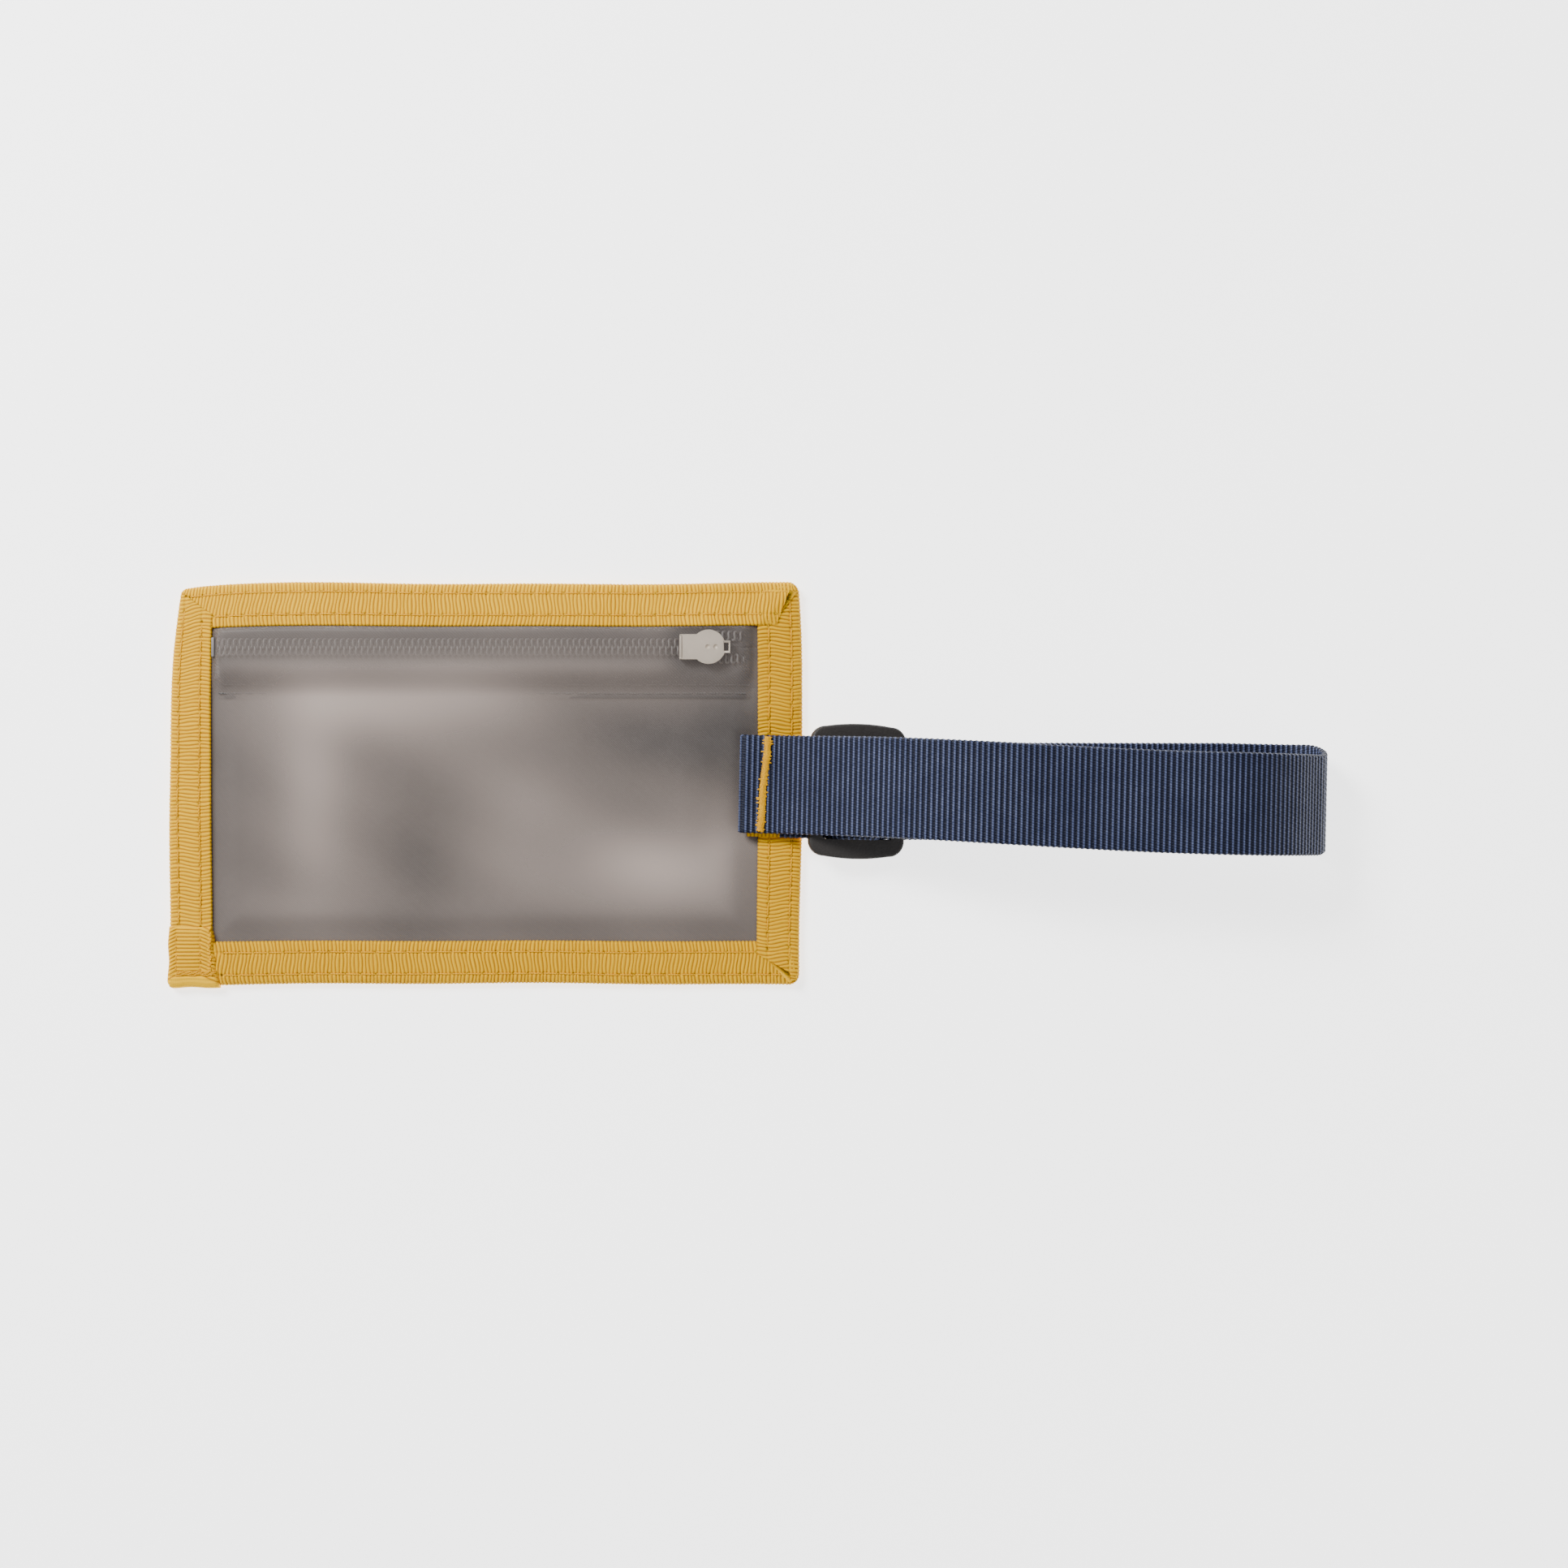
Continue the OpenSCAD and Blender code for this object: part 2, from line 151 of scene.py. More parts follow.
def make_object(name, verts, faces, uvs=None, material=None, flat=False, **shares):
    """A mesh object from points in mm, with one UV pair and any named share per point."""
    mesh = bpy.data.meshes.new(name)
    mesh.from_pydata((np.asarray(verts) * MM).tolist(), [], faces)
    if uvs is not None:
        layer = mesh.uv_layers.new(name="UVMap")
        corner = np.empty(len(mesh.loops), dtype=np.int32)
        mesh.loops.foreach_get("vertex_index", corner)
        layer.data.foreach_set("uv", np.asarray(uvs, dtype=np.float32)[corner].ravel())
    for key, values in shares.items():
        layer = mesh.attributes.new(key, "FLOAT", "POINT")
        layer.data.foreach_set("value", np.asarray(values, dtype=np.float32))
    mesh.validate()
    mesh.polygons.foreach_set("use_smooth", [not flat] * len(mesh.polygons))
    obj = bpy.data.objects.new(name, mesh)
    bpy.context.scene.collection.objects.link(obj)
    if material:
        mesh.materials.append(material)
    return obj


def grid_faces(n, m, wrap=False, start=0):
    """Quads over an n by m grid of points; wrap joins its last column to its first."""
    cols = m if wrap else m - 1
    i, j = np.meshgrid(np.arange(n - 1), np.arange(cols), indexing="ij")
    a = start + i * m + j
    b = start + i * m + (j + 1) % m
    return np.stack([a, b, b + m, a + m], axis=-1).reshape(-1, 4).tolist()


def slab_faces(n, m):
    """Faces of a closed slab: an n by m grid of top points, then the same grid of bottom points."""
    count = n * m
    top = grid_faces(n, m)
    bottom = [[d + count, c + count, b + count, a + count] for a, b, c, d in top]
    rim = [i * m for i in range(n)] + [(n - 1) * m + j for j in range(1, m)]
    rim += [i * m + m - 1 for i in range(n - 2, -1, -1)] + list(range(m - 2, 0, -1))
    wall = [[a, b, b + count, a + count] for a, b in zip(rim, rim[1:] + rim[:1])]
    return top + bottom + wall


def turn_outward(obj, weld=None):
    """Turns a closed mesh's faces outward, after welding points nearer than weld metres."""
    bm = bmesh.new()
    bm.from_mesh(obj.data)
    if weld is not None:
        bmesh.ops.remove_doubles(bm, verts=bm.verts, dist=weld)
        bmesh.ops.dissolve_degenerate(bm, edges=bm.edges, dist=weld / 2)
    bmesh.ops.recalc_face_normals(bm, faces=bm.faces)
    bm.to_mesh(obj.data)
    bm.free()
    return obj


def tube_points(path, radius, sides=6):
    """Rings of points round a path, for one thread or wire."""
    path = np.asarray(path, dtype=float)
    tangent = np.gradient(path, axis=0)
    tangent /= np.linalg.norm(tangent, axis=1)[:, None] + 1e-12
    guide = np.array([0.13, 0.21, 1.0])
    side = np.cross(tangent, guide)
    side /= np.linalg.norm(side, axis=1)[:, None] + 1e-12
    other = np.cross(side, tangent)
    angle = np.linspace(0, 2 * math.pi, sides, endpoint=False)
    radius = np.broadcast_to(radius, len(path))[:, None, None]
    ring = side[:, None] * np.cos(angle)[None, :, None]
    ring = ring + other[:, None] * np.sin(angle)[None, :, None]
    return (path[:, None] + ring * radius).reshape(-1, 3)


def threads(name, paths, radius, material, sides=6):
    """One object of many round threads, each closed at both ends."""
    verts, faces, uvs, start = [], [], [], 0
    for path in paths:
        points = tube_points(path, radius, sides)
        n = len(path)
        verts.append(points)
        faces += grid_faces(n, sides, wrap=True, start=start)
        faces.append(list(range(start, start + sides)))
        last = start + (n - 1) * sides
        faces.append(list(range(last + sides - 1, last - 1, -1)))
        share = np.tile(np.arange(sides) / sides, n)
        uvs.append(np.stack([np.repeat(run_length(path), sides), share], axis=1))
        start += n * sides
    return make_object(name, np.concatenate(verts), faces, np.concatenate(uvs), material)


def in_slot(edge):
    """Whether an edge lies inside the buckle's rim, so that it borders a slot."""
    middle = sum((v.co for v in edge.verts), Vector()) / 2 / MM
    return all(abs(middle[k] - BUCKLE_MID[k]) < SLOT_HALF[k] for k in (0, 1))


SHARP = 35            # edges that turn by more degrees than this get rounded


def rounded_copy(name, node, width, material, segments=2, inner=None):
    """A piece with the CAD node's own shape and its sharp edges rounded, less so round its slots."""
    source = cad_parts[node]
    mesh = source.data.copy()
    mesh.name = name
    mesh.materials.clear()
    obj = bpy.data.objects.new(name, mesh)
    bpy.context.scene.collection.objects.link(obj)
    bm = bmesh.new()
    bm.from_mesh(mesh)
    bmesh.ops.remove_doubles(bm, verts=bm.verts, dist=1e-6)
    bmesh.ops.dissolve_limit(bm, angle_limit=math.radians(1), verts=bm.verts, edges=bm.edges)
    for slots, offset in ((False, width), (True, inner)):
        if offset is None:
            continue
        sharp = [e for e in bm.edges
                 if len(e.link_faces) == 2 and e.calc_face_angle(0) > math.radians(SHARP)
                 and (inner is None or slots == in_slot(e))]
        bmesh.ops.bevel(bm, geom=sharp, offset=offset * MM, segments=segments, profile=0.6,
                        affect="EDGES", clamp_overlap=True)
    bm.to_mesh(mesh)
    bm.free()
    mesh.polygons.foreach_set("use_smooth", [True] * len(mesh.polygons))
    mesh.materials.append(material)
    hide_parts(node)
    return obj


# ---------------------------------------------------------------- material helpers


class Nodes:
    """A material and short ways to add nodes to it."""

    def __init__(self, name, roughness=0.7):
        self.material = bpy.data.materials.new(name)
        self.material.use_nodes = True
        self.tree = self.material.node_tree
        self.shader = self.tree.nodes["Principled BSDF"]
        self.shader.inputs["Roughness"].default_value = roughness

    def add(self, kind, **values):
        node = self.tree.nodes.new(kind)
        for key, value in values.items():
            setattr(node, key, value)
        return node

    def put(self, socket, value):
        if isinstance(value, bpy.types.NodeSocket):
            self.tree.links.new(value, socket)
        else:
            socket.default_value = value

    def math(self, operation, a, b=0.0, clamp=False):
        node = self.add("ShaderNodeMath", operation=operation, use_clamp=clamp)
        self.put(node.inputs[0], a)
        self.put(node.inputs[1], b)
        return node.outputs[0]

    def uv(self):
        split = self.add("ShaderNodeSeparateXYZ")
        self.put(split.inputs[0], self.add("ShaderNodeUVMap", uv_map="UVMap").outputs[0])
        return split.outputs[0], split.outputs[1]

    def place(self):
        return self.add("ShaderNodeTexCoord").outputs["Object"]

    def noise(self, vector, scale, detail=3.0, rough=0.55):
        node = self.add("ShaderNodeTexNoise")
        self.put(node.inputs["Vector"], vector)
        for key, value in (("Scale", scale), ("Detail", detail), ("Roughness", rough)):
            node.inputs[key].default_value = value
        return node.outputs["Fac"]

    def mix(self, factor, a, b):
        node = self.add("ShaderNodeMix", data_type="RGBA")
        self.put(node.inputs[0], factor)
        self.put(node.inputs[6], (*a, 1) if isinstance(a, tuple) else a)
        self.put(node.inputs[7], (*b, 1) if isinstance(b, tuple) else b)
        return node.outputs[2]

    def wave(self, value, pitch):
        """A rounded crest from 0 to 1 once every pitch."""
        return self.math("ABSOLUTE", self.math("SINE", self.math("MULTIPLY", value, math.pi / pitch)))

    def bump(self, height, distance, strength=1.0):
        node = self.add("ShaderNodeBump")
        node.inputs["Strength"].default_value = strength
        node.inputs["Distance"].default_value = distance * MM
        self.put(node.inputs["Height"], height)
        self.put(self.shader.inputs["Normal"], node.outputs[0])

    def colour(self, value):
        self.put(self.shader.inputs["Base Color"], value)


def grosgrain():
    """Ribbed yellow tape with painted shade in its rib valleys and a painted highlight on its crests: u runs
    along the tape in mm, v across it.
    """
    n = Nodes("binding_grosgrain", 0.7)
    u, v = n.uv()
    crest = n.wave(u, RIB)
    tint = n.noise(n.place(), 90, 4)
    # Painted light: the rib valleys get the darker colour as painted shade and the crests the lighter one as
    # a painted highlight; tint varies both at random.
    rib_valley_shade = n.mix(tint, (0.36, 0.12, 0.0), (0.48, 0.18, 0.0))
    light = n.mix(tint, (0.92, 0.50, 0.0), (1.0, 0.58, 0.001))
    # Painted shade: the needle holes get a near-black colour, standing in for the shade that falls into them.
    hole = n.add("ShaderNodeAttribute", attribute_name="hole").outputs["Fac"]
    n.colour(n.mix(hole, n.mix(crest, rib_valley_shade, light), (0.07, 0.022, 0.001)))
    warp = n.wave(v, 0.16)
    twist = n.wave(n.math("ADD", v, n.math("MULTIPLY", u, 0.8)), 0.24)
    n.bump(n.math("ADD", n.math("MULTIPLY", warp, 0.5), n.math("MULTIPLY", twist, 0.6)), 0.035)
    n.shader.inputs["Specular IOR Level"].default_value = 0.12
    return n.material


def thread(name, dark, light):
    """Twisted sewing thread: u runs along the thread in mm, v once round it."""
    n = Nodes(name, 0.55)
    u, v = n.uv()
    ply = n.wave(n.math("ADD", u, n.math("MULTIPLY", v, 0.5)), 0.5)
    # Painted light: the ply crests get the lighter colour as a painted highlight and the grooves between
    # plies the darker one as painted shade; noise varies it at random.
    n.colour(n.mix(n.math("MULTIPLY", ply, n.noise(n.place(), 400, 2)), dark, light))
    n.bump(ply, 0.04)
    n.shader.inputs["Specular IOR Level"].default_value = 0.2
    return n.material


def webbing():
    """Navy webbing with painted highlights along its ribs: u runs along the strap in mm, v across it."""
    n = Nodes("strap_webbing", 0.48)
    u, v = n.uv()
    rib = n.wave(u, WEB_RIB)
    dash = n.wave(n.math("ADD", v, n.math("MULTIPLY", u, 0.25)), 0.49)
    dashes = n.math("ADD", 0.3, n.math("MULTIPLY", dash, 0.7))
    # Painted highlight: a thin light line on each rib's crest and faint light dots in the valleys stand in
    # for light catching the yarn over the dark navy base; fibre and patch vary the tone at random.
    line = n.math("MULTIPLY", n.math("POWER", rib, 6.0), dashes)
    valley = n.math("POWER", n.math("SUBTRACT", 1.0, rib), 3.0)
    valley_highlight_dots = n.math("MULTIPLY", valley, n.math("MULTIPLY", n.math("POWER", dash, 3.0), 0.22))
    fibre = n.noise(n.place(), 2600, 2)
    patch = n.noise(n.place(), 160, 2)
    base = n.mix(fibre, (0.0010, 0.0016, 0.0065), (0.0030, 0.0045, 0.0150))
    light = n.mix(n.math("MULTIPLY", fibre, patch), (0.050, 0.066, 0.150), (0.30, 0.35, 0.60))
    n.colour(n.mix(n.math("ADD", line, valley_highlight_dots, clamp=True), base, light))
    n.bump(n.math("ADD", n.math("MULTIPLY", dash, 0.6), fibre), 0.06)
    n.shader.inputs["Specular IOR Level"].default_value = 0.15
    return n.material


def panel_cloth(name, dark, light, pitch=0.45):
    """Fine twill: diagonal ridges over a grey ground."""
    n = Nodes(name, 0.8)
    u, v = n.uv()
    twill = n.wave(n.math("ADD", u, v), pitch)
    # Painted light: the twill ridges get the lighter colour as a painted highlight and the ground between
    # them the darker one as painted shade; noise varies it at random.
    n.colour(n.mix(n.math("MULTIPLY", twill, n.noise(n.place(), 300, 3)), dark, light))
    n.bump(twill, 0.06)
    n.shader.inputs["Sheen Weight"].default_value = 0.2
    return n.material


def frosted_film():
    """Milky film: its haze hides what lies further below, and thins where it touches."""
    n = Nodes("window_frosted_film", 0.42)
    haze = n.add("ShaderNodeAttribute", attribute_name="haze").outputs["Fac"]
    soft = n.noise(n.place(), 35, 2)
    fog = n.math("ADD", haze, n.math("MULTIPLY", n.math("SUBTRACT", soft, 0.5), 0.06), clamp=True)
    n.colour(n.mix(fog, (0.17, 0.143, 0.130), (0.56, 0.465, 0.415)))
    grain = n.noise(n.place(), 2500, 2)
    n.bump(grain, 0.02, 0.5)
    n.put(n.shader.inputs["Alpha"], n.math("ADD", 0.12, n.math("MULTIPLY", fog, 0.62), clamp=True))
    n.shader.inputs["Specular IOR Level"].default_value = 0.35
    return n.material


def nylon_coil():
    """Grey nylon wire, slightly mottled."""
    n = Nodes("zipper_nylon_coil", 0.42)
    n.colour(n.mix(n.noise(n.place(), 900, 2), (0.17, 0.16, 0.155), (0.26, 0.245, 0.235)))
    n.bump(n.noise(n.place(), 3000, 2), 0.01)
    return n.material


def slider_metal():
    """Painted zinc, with faint casting grain and a mottled tone."""
    n = Nodes("slider_painted_zinc", 0.38)
    wear = n.noise(n.place(), 500, 4, 0.7)
    n.colour(n.mix(wear, (0.66, 0.56, 0.45), (0.84, 0.74, 0.61)))
    n.bump(n.noise(n.place(), 2600, 3), 0.015)
    n.shader.inputs["Metallic"].default_value = 0.1
    return n.material


def moulded_plastic():
    """Black acetal with a fine spark-eroded texture."""
    n = Nodes("buckle_moulded_plastic", 0.5)
    grain = n.noise(n.place(), 3200, 3, 0.6)
    n.colour(n.mix(grain, (0.012, 0.010, 0.009), (0.030, 0.026, 0.024)))
    n.bump(grain, 0.09)
    n.put(n.shader.inputs["Roughness"], n.math("ADD", 0.42, n.math("MULTIPLY", grain, 0.25)))
    return n.material


# ---------------------------------------------------------------- the binding


def tape_crown(q):
    """Height of the folded tape's top at a distance q in from the pouch's edge."""
    return BIND_T + 0.16 * math.sin(math.pi * q / BIND_W)


def row_wander(s):
    """How far the tape and its stitch rows stray sideways, s along a side."""
    return 0.10 * np.sin(s / 9.0) + 0.06 * np.sin(s / 3.7 + 1)


def binding_profile():
    """Closed cross-section of the folded tape: distance in from the edge, height, rib share."""
    r = BIND_T / 2
    outer, inner = ROWS
    spans = ((BIND_W - 0.25, inner + 0.6, 5), (inner + 0.45, inner - 0.45, 7),
             (inner - 0.7, outer + 0.7, 7), (outer + 0.45, outer - 0.45, 7))
    pieces = [(q, tape_crown(q), 1.0) for span in spans for q in np.linspace(*span)]
    for a in np.linspace(80, -80, 9):
        pieces.append((r - r * math.cos(math.radians(a)), r + r * math.sin(math.radians(a)), 1.0))
    pieces += [(q, 0.0, 1.0) for q in np.linspace(1.6, BIND_W - 0.25, 7)]
    pieces += [(BIND_W, 0.18, 0.6), (BIND_W - 0.05, TAPE_T, 0.2), (BIND_W - 0.4, TAPE_T + 0.1, 0.0),
               (BIND_W - 0.4, BIND_T - TAPE_T - 0.1, 0.0), (BIND_W - 0.05, BIND_T - TAPE_T, 0.3),
               (BIND_W, BIND_T - 0.18, 0.8)]
    return np.array(pieces)


def cut_line(cut, q):
    """How far from the corner a tape ends at a distance q in: its base, slope and uncut rim."""
    base, slope, rim = cut
    return np.where(q < rim, 0.25, base + slope * q)


def outward_normals(outline):
    """Unit normals of a closed outline of the folded tape, pointing away from its middle."""
    tangent = np.gradient(outline, axis=0)
    normal = np.stack([-tangent[:, 1], tangent[:, 0]], axis=1)
    normal /= np.linalg.norm(normal, axis=1)[:, None] + 1e-9
    centre = np.array([BIND_W / 2, BIND_T / 2])
    flip = np.sign(((outline - centre) * normal).sum(axis=1))
    return normal * np.where(flip == 0, 1, flip)[:, None]


def binding(name, origin, along, inward, length, cut_start, cut_end, over_end, material):
    """One side's folded tape, ribbed across, cut at both ends along mitre lines.
    over_end is 1 where its far end lies over the next tape."""
    profile = binding_profile()
    q, z, rib_share = profile.T
    normal = outward_normals(profile[:, :2])
    steps = int(round(length / RIB)) * 6 + 1
    s = np.linspace(0, length, steps)
    rib = 0.18 * (np.abs(np.sin(math.pi * s / RIB)) ** 0.7 - 0.6)
    S, Q = np.meshgrid(s, q, indexing="ij")
    Z = np.broadcast_to(z, S.shape).copy()
    on_top = np.broadcast_to((z > BIND_T - 0.4) & (rib_share > 0.7), S.shape)
    relief = rib[:, None] * rib_share
    relief = relief + 0.02 * rng.standard_normal(steps)[:, None] * rib_share
    # Marks the needle holes, which the binding's material paints near-black as shade.
    hole = np.zeros_like(S)
    from_hole = np.abs(S - STITCH * np.round(S / STITCH))
    for row in ROWS:
        pinch = np.exp(-((Q - row - 0.5 * row_wander(s)[:, None]) / 0.24) ** 2)
        pit = np.exp(-(from_hole / 0.3) ** 2)
        relief = np.where(on_top, relief - pinch * (0.13 + 0.16 * pit), relief)
        hole = np.where(on_top, np.maximum(hole, pinch * pit), hole)
    lean = 0.30 * np.sin(2 * math.pi * Q / (ROWS[1] - ROWS[0] + 4)) * np.sin(S / 14.0)
    lean += 0.10 * np.sin(S * 1.9) * np.sin(Q * 1.1)
    start = cut_line(cut_start, Q)
    end = length - cut_line(cut_end, Q)
    S2 = np.clip(S + lean, start, end)
    Z = Z + np.where(on_top, 0.22 * over_end * (1 - smooth(end - S2, 1.0, 9.0)), 0)
    Qn = Q + relief * normal[None, :, 0]
    Z = Z + relief * normal[None, :, 1]
    along, inward = np.array(along, float), np.array(inward, float)
    points = np.array(origin, float) + S2[..., None] * along + Qn[..., None] * inward
    points = points.reshape(-1, 3)
    points[:, 2] = Z.ravel()
    points = soften(points)
    n, m = S.shape
    faces = grid_faces(n, m, wrap=True)
    faces += [list(range(m)), list(range((n - 1) * m + m - 1, (n - 1) * m - 1, -1))]
    run = run_length(profile[:, :2])
    uvs = np.stack([S.ravel(), np.broadcast_to(run, S.shape).ravel()], axis=1)
    return turn_outward(make_object(name, points, faces, uvs, material, hole=hole.ravel()), weld=2e-7)


def stitch_row(origin, along, inward, row, s_from, s_to):
    """The paths of one row of lockstitches lying in the tape."""
    along, inward = np.array(along, float), np.array(inward, float)
    paths = []
    count = int((s_to - s_from) / STITCH)
    t = np.linspace(0, 1, 9)
    for i in range(count):
        s0 = s_from + i * STITCH
        s = s0 + STITCH_GAP + (STITCH - 2 * STITCH_GAP) * t
        wander = 0.5 * row_wander(s) + 0.05 * (2 * t - 1)
        base = np.array(origin, float) + s[:, None] * along + (row + wander)[:, None] * inward
        base[:, 2] = tape_crown(row) - 0.30 + 0.36 * np.sin(math.pi * t) ** 0.25
        paths.append(soften(base))
    return paths


# ---------------------------------------------------------------- the binding's lapped end


def rounded_rise(distance, radius):
    """0 at an edge and 1 a radius in from it, round in between."""
    power = 2.2
    t = 1 - np.clip(distance / radius, 0, 1)
    return (1 - t ** power) ** (1 / power)


def lap_width(y):
    """The lap's width at a height y, wider at the bottom."""
    return LAP_W - 1.2 * y / LAP_H


def lap_turn(x, y):
    """How far up the lap's ribs a place lies. They slant at its left edge and at its hem."""
    return y + 0.5 * np.clip(LAP_ROWS[0] - x, 0, 9) + 0.4 * np.clip(x - LAP_ROWS[1] - 0.2, 0, 9)


def lap_height(x, y):
    """Height of the lap's top at a place measured from its lower left corner."""
    rim_out = np.minimum(x, y) + LAP_OUT
    rim_in = np.minimum(lap_width(y) - x, LAP_H - y)
    body = 0.4 + (BIND_T - 0.4) * rounded_rise(rim_out, 1.1)
    crown = 0.50 + 0.10 * np.sin(x / 1.5 + 0.6) * np.sin(y / 2.3)
    body += crown * rounded_rise(rim_in, 0.7) * rounded_rise(rim_out, 0.9)
    ribbed = smooth(y, 2.7, 3.1) * (1 - smooth(x, LAP_HEM - 0.3, LAP_HEM))
    ribbed *= 1 - 0.8 * smooth(x, 3.8, 5.2) * smooth(y, LAP_H - 1.5, LAP_H - 0.7)
    ribs = 0.22 * (np.abs(np.sin(math.pi * lap_turn(x, y) / RIB)) ** 0.7 - 0.6) * ribbed
    hem = np.clip(1 - ((x - LAP_HEM - 0.75) / 0.75) ** 2, 0, 1) * smooth(y, 1.9, 2.4)
    ribs += hem * (0.10 + 0.09 * np.sin(2 * math.pi * (y + 0.3 * x) / 0.58))
    fold = 1 - smooth(y, 1.6, 2.0)
    ribs += fold * (0.08 + 0.03 * np.sin(8.5 * y + 0.4 * np.sin(x)))
    ribs -= 0.16 * np.exp(-((y - 2.0) / 0.16) ** 2)
    for row in LAP_ROWS:
        ribs -= 0.14 * np.exp(-((x - row) / 0.26) ** 2) * smooth(y, 2.0, 2.6)
    return body + ribs * smooth(np.minimum(rim_in, rim_out), 0.0, 0.5)


def lap_place(x, y):
    """A place on the lap as a point on the pouch, with the lap's uneven outline."""
    px = LEFT + x + 0.12 * np.sin(1.5 * y) * smooth(x, 5, 9)
    px -= 0.12 * (1 + np.sin(0.9 * y + 0.5)) * (1 - smooth(x, 0, 3))
    py = -HALF + y - (0.24 + 0.12 * np.cos(0.75 * x)) * (1 - smooth(y, 0, 3))
    return np.stack([px, py, lap_height(x, y)], axis=1)


def lap_stitches():
    """The stitches of the lap: two rows up it, a tangle across its foot and the overcast hem."""
    paths = []

    def lay(x, y, sink=0.02):
        points = lap_place(x, y)
        points[:, 2] += 0.05 - sink
        paths.append(soften(points))

    t = np.linspace(0, 1, 9)
    dip = 0.34 * (1 - np.sin(math.pi * t) ** 0.3)
    for row, length in ((LAP_ROWS[0], 1.9), (LAP_ROWS[1], 1.5)):
        for k in range(int((LAP_H - 3.2) / length)):
            slant = 0.22 * rng.standard_normal()
            lay(row + slant * (t - 0.5), 2.6 + length * (k + 0.06 + 0.88 * t), dip)
    for k in range(4):
        x = LAP_ROWS[0] + np.linspace(0.1 * k, lap_width(2.0) - 2.2 + 0.2 * k, 50)
        tangle = 0.14 * np.sin(2.3 * x + 1.9 * k) + 0.05 * np.sin(7 * x + k)
        lay(x, 2.25 + 0.20 * k + tangle)
    y = np.arange(2.2, LAP_H - 0.5, 0.05)
    for shift in (0.0, 0.5):
        zigzag = np.abs(((y + 0.3 * shift) / 0.58) % 2 - 1)
        lay(LAP_HEM + 0.35 + 0.2 * shift + 0.36 * zigzag, y, 0.0)
    return paths


# ---------------------------------------------------------------- the strap


def skewed(points):
    """Turns strap points about the strap's sewn place."""
    x, y, z = points[:, 0], points[:, 1], points[:, 2]
    a = math.radians(SKEW)
    return np.stack([SKEW_X + (x - SKEW_X) * math.cos(a) + y * math.sin(a),
                     -(x - SKEW_X) * math.sin(a) + y * math.cos(a), z], axis=1)


def sideways(path):
    """How far each point of the strap lies off its middle line: out on the top, back below."""
    peak = int(np.argmax(path[:, 0]))
    x = path[:, 0]
    top = -1.6 * smooth(x, 20, 88)
    back = -0.80 + 1.40 * np.clip((x - 30) / 64, 0, 1)
    below = np.arange(len(path)) > peak
    reach = 0.024 * len(path)
    blend_in = smooth(np.arange(len(path)) - peak, -reach, reach)
    return top * (1 - blend_in) + np.where(below | (x > 80), back, 0) * blend_in


SKEW, SKEW_X = 1.3, 2.0
STRAP_W, STRAP_T = 19.05, 1.2
WEB_PICK = 0.98       # pitch of the webbing's weft, across it
EDGE_ROUND = 0.35     # radius of a band's selvedges
RISE, CREST, CREST_R, FALL_R, FALL, FALL_LEN, TIP_R = 25, 3, 70, 24, 45, 5, 7
BUCKLE_X, LEAN = 22.1, math.radians(9)
THREAD_END, THREAD_W = 10.2, -STRAP_T / 2 - 0.1
BUCKLE_Z = 0.04 + THREAD_END * math.sin(LEAN) + (STRAP_T + 0.1) * math.cos(LEAN)


def to_world(u, w):
    """A point of the buckle's own frame, in the strap's x and z."""
    return (BUCKLE_X + u * math.cos(LEAN) + w * math.sin(LEAN),
            BUCKLE_Z - u * math.sin(LEAN) + w * math.cos(LEAN))


def turn(start, angle, radius, degrees):
    """Points of an arc that starts at a point in a direction and turns left by degrees."""
    sign = 1 if degrees > 0 else -1
    a = math.radians(angle)
    centre = (start[0] - sign * radius * math.sin(a), start[1] + sign * radius * math.cos(a))
    steps = max(2, int(abs(math.radians(degrees)) * radius / 0.5) + 1)
    out = []
    for i in range(1, steps + 1):
        b = a + math.radians(degrees) * i / steps
        out.append((centre[0] + sign * radius * math.sin(b), centre[1] - sign * radius * math.cos(b)))
    return out


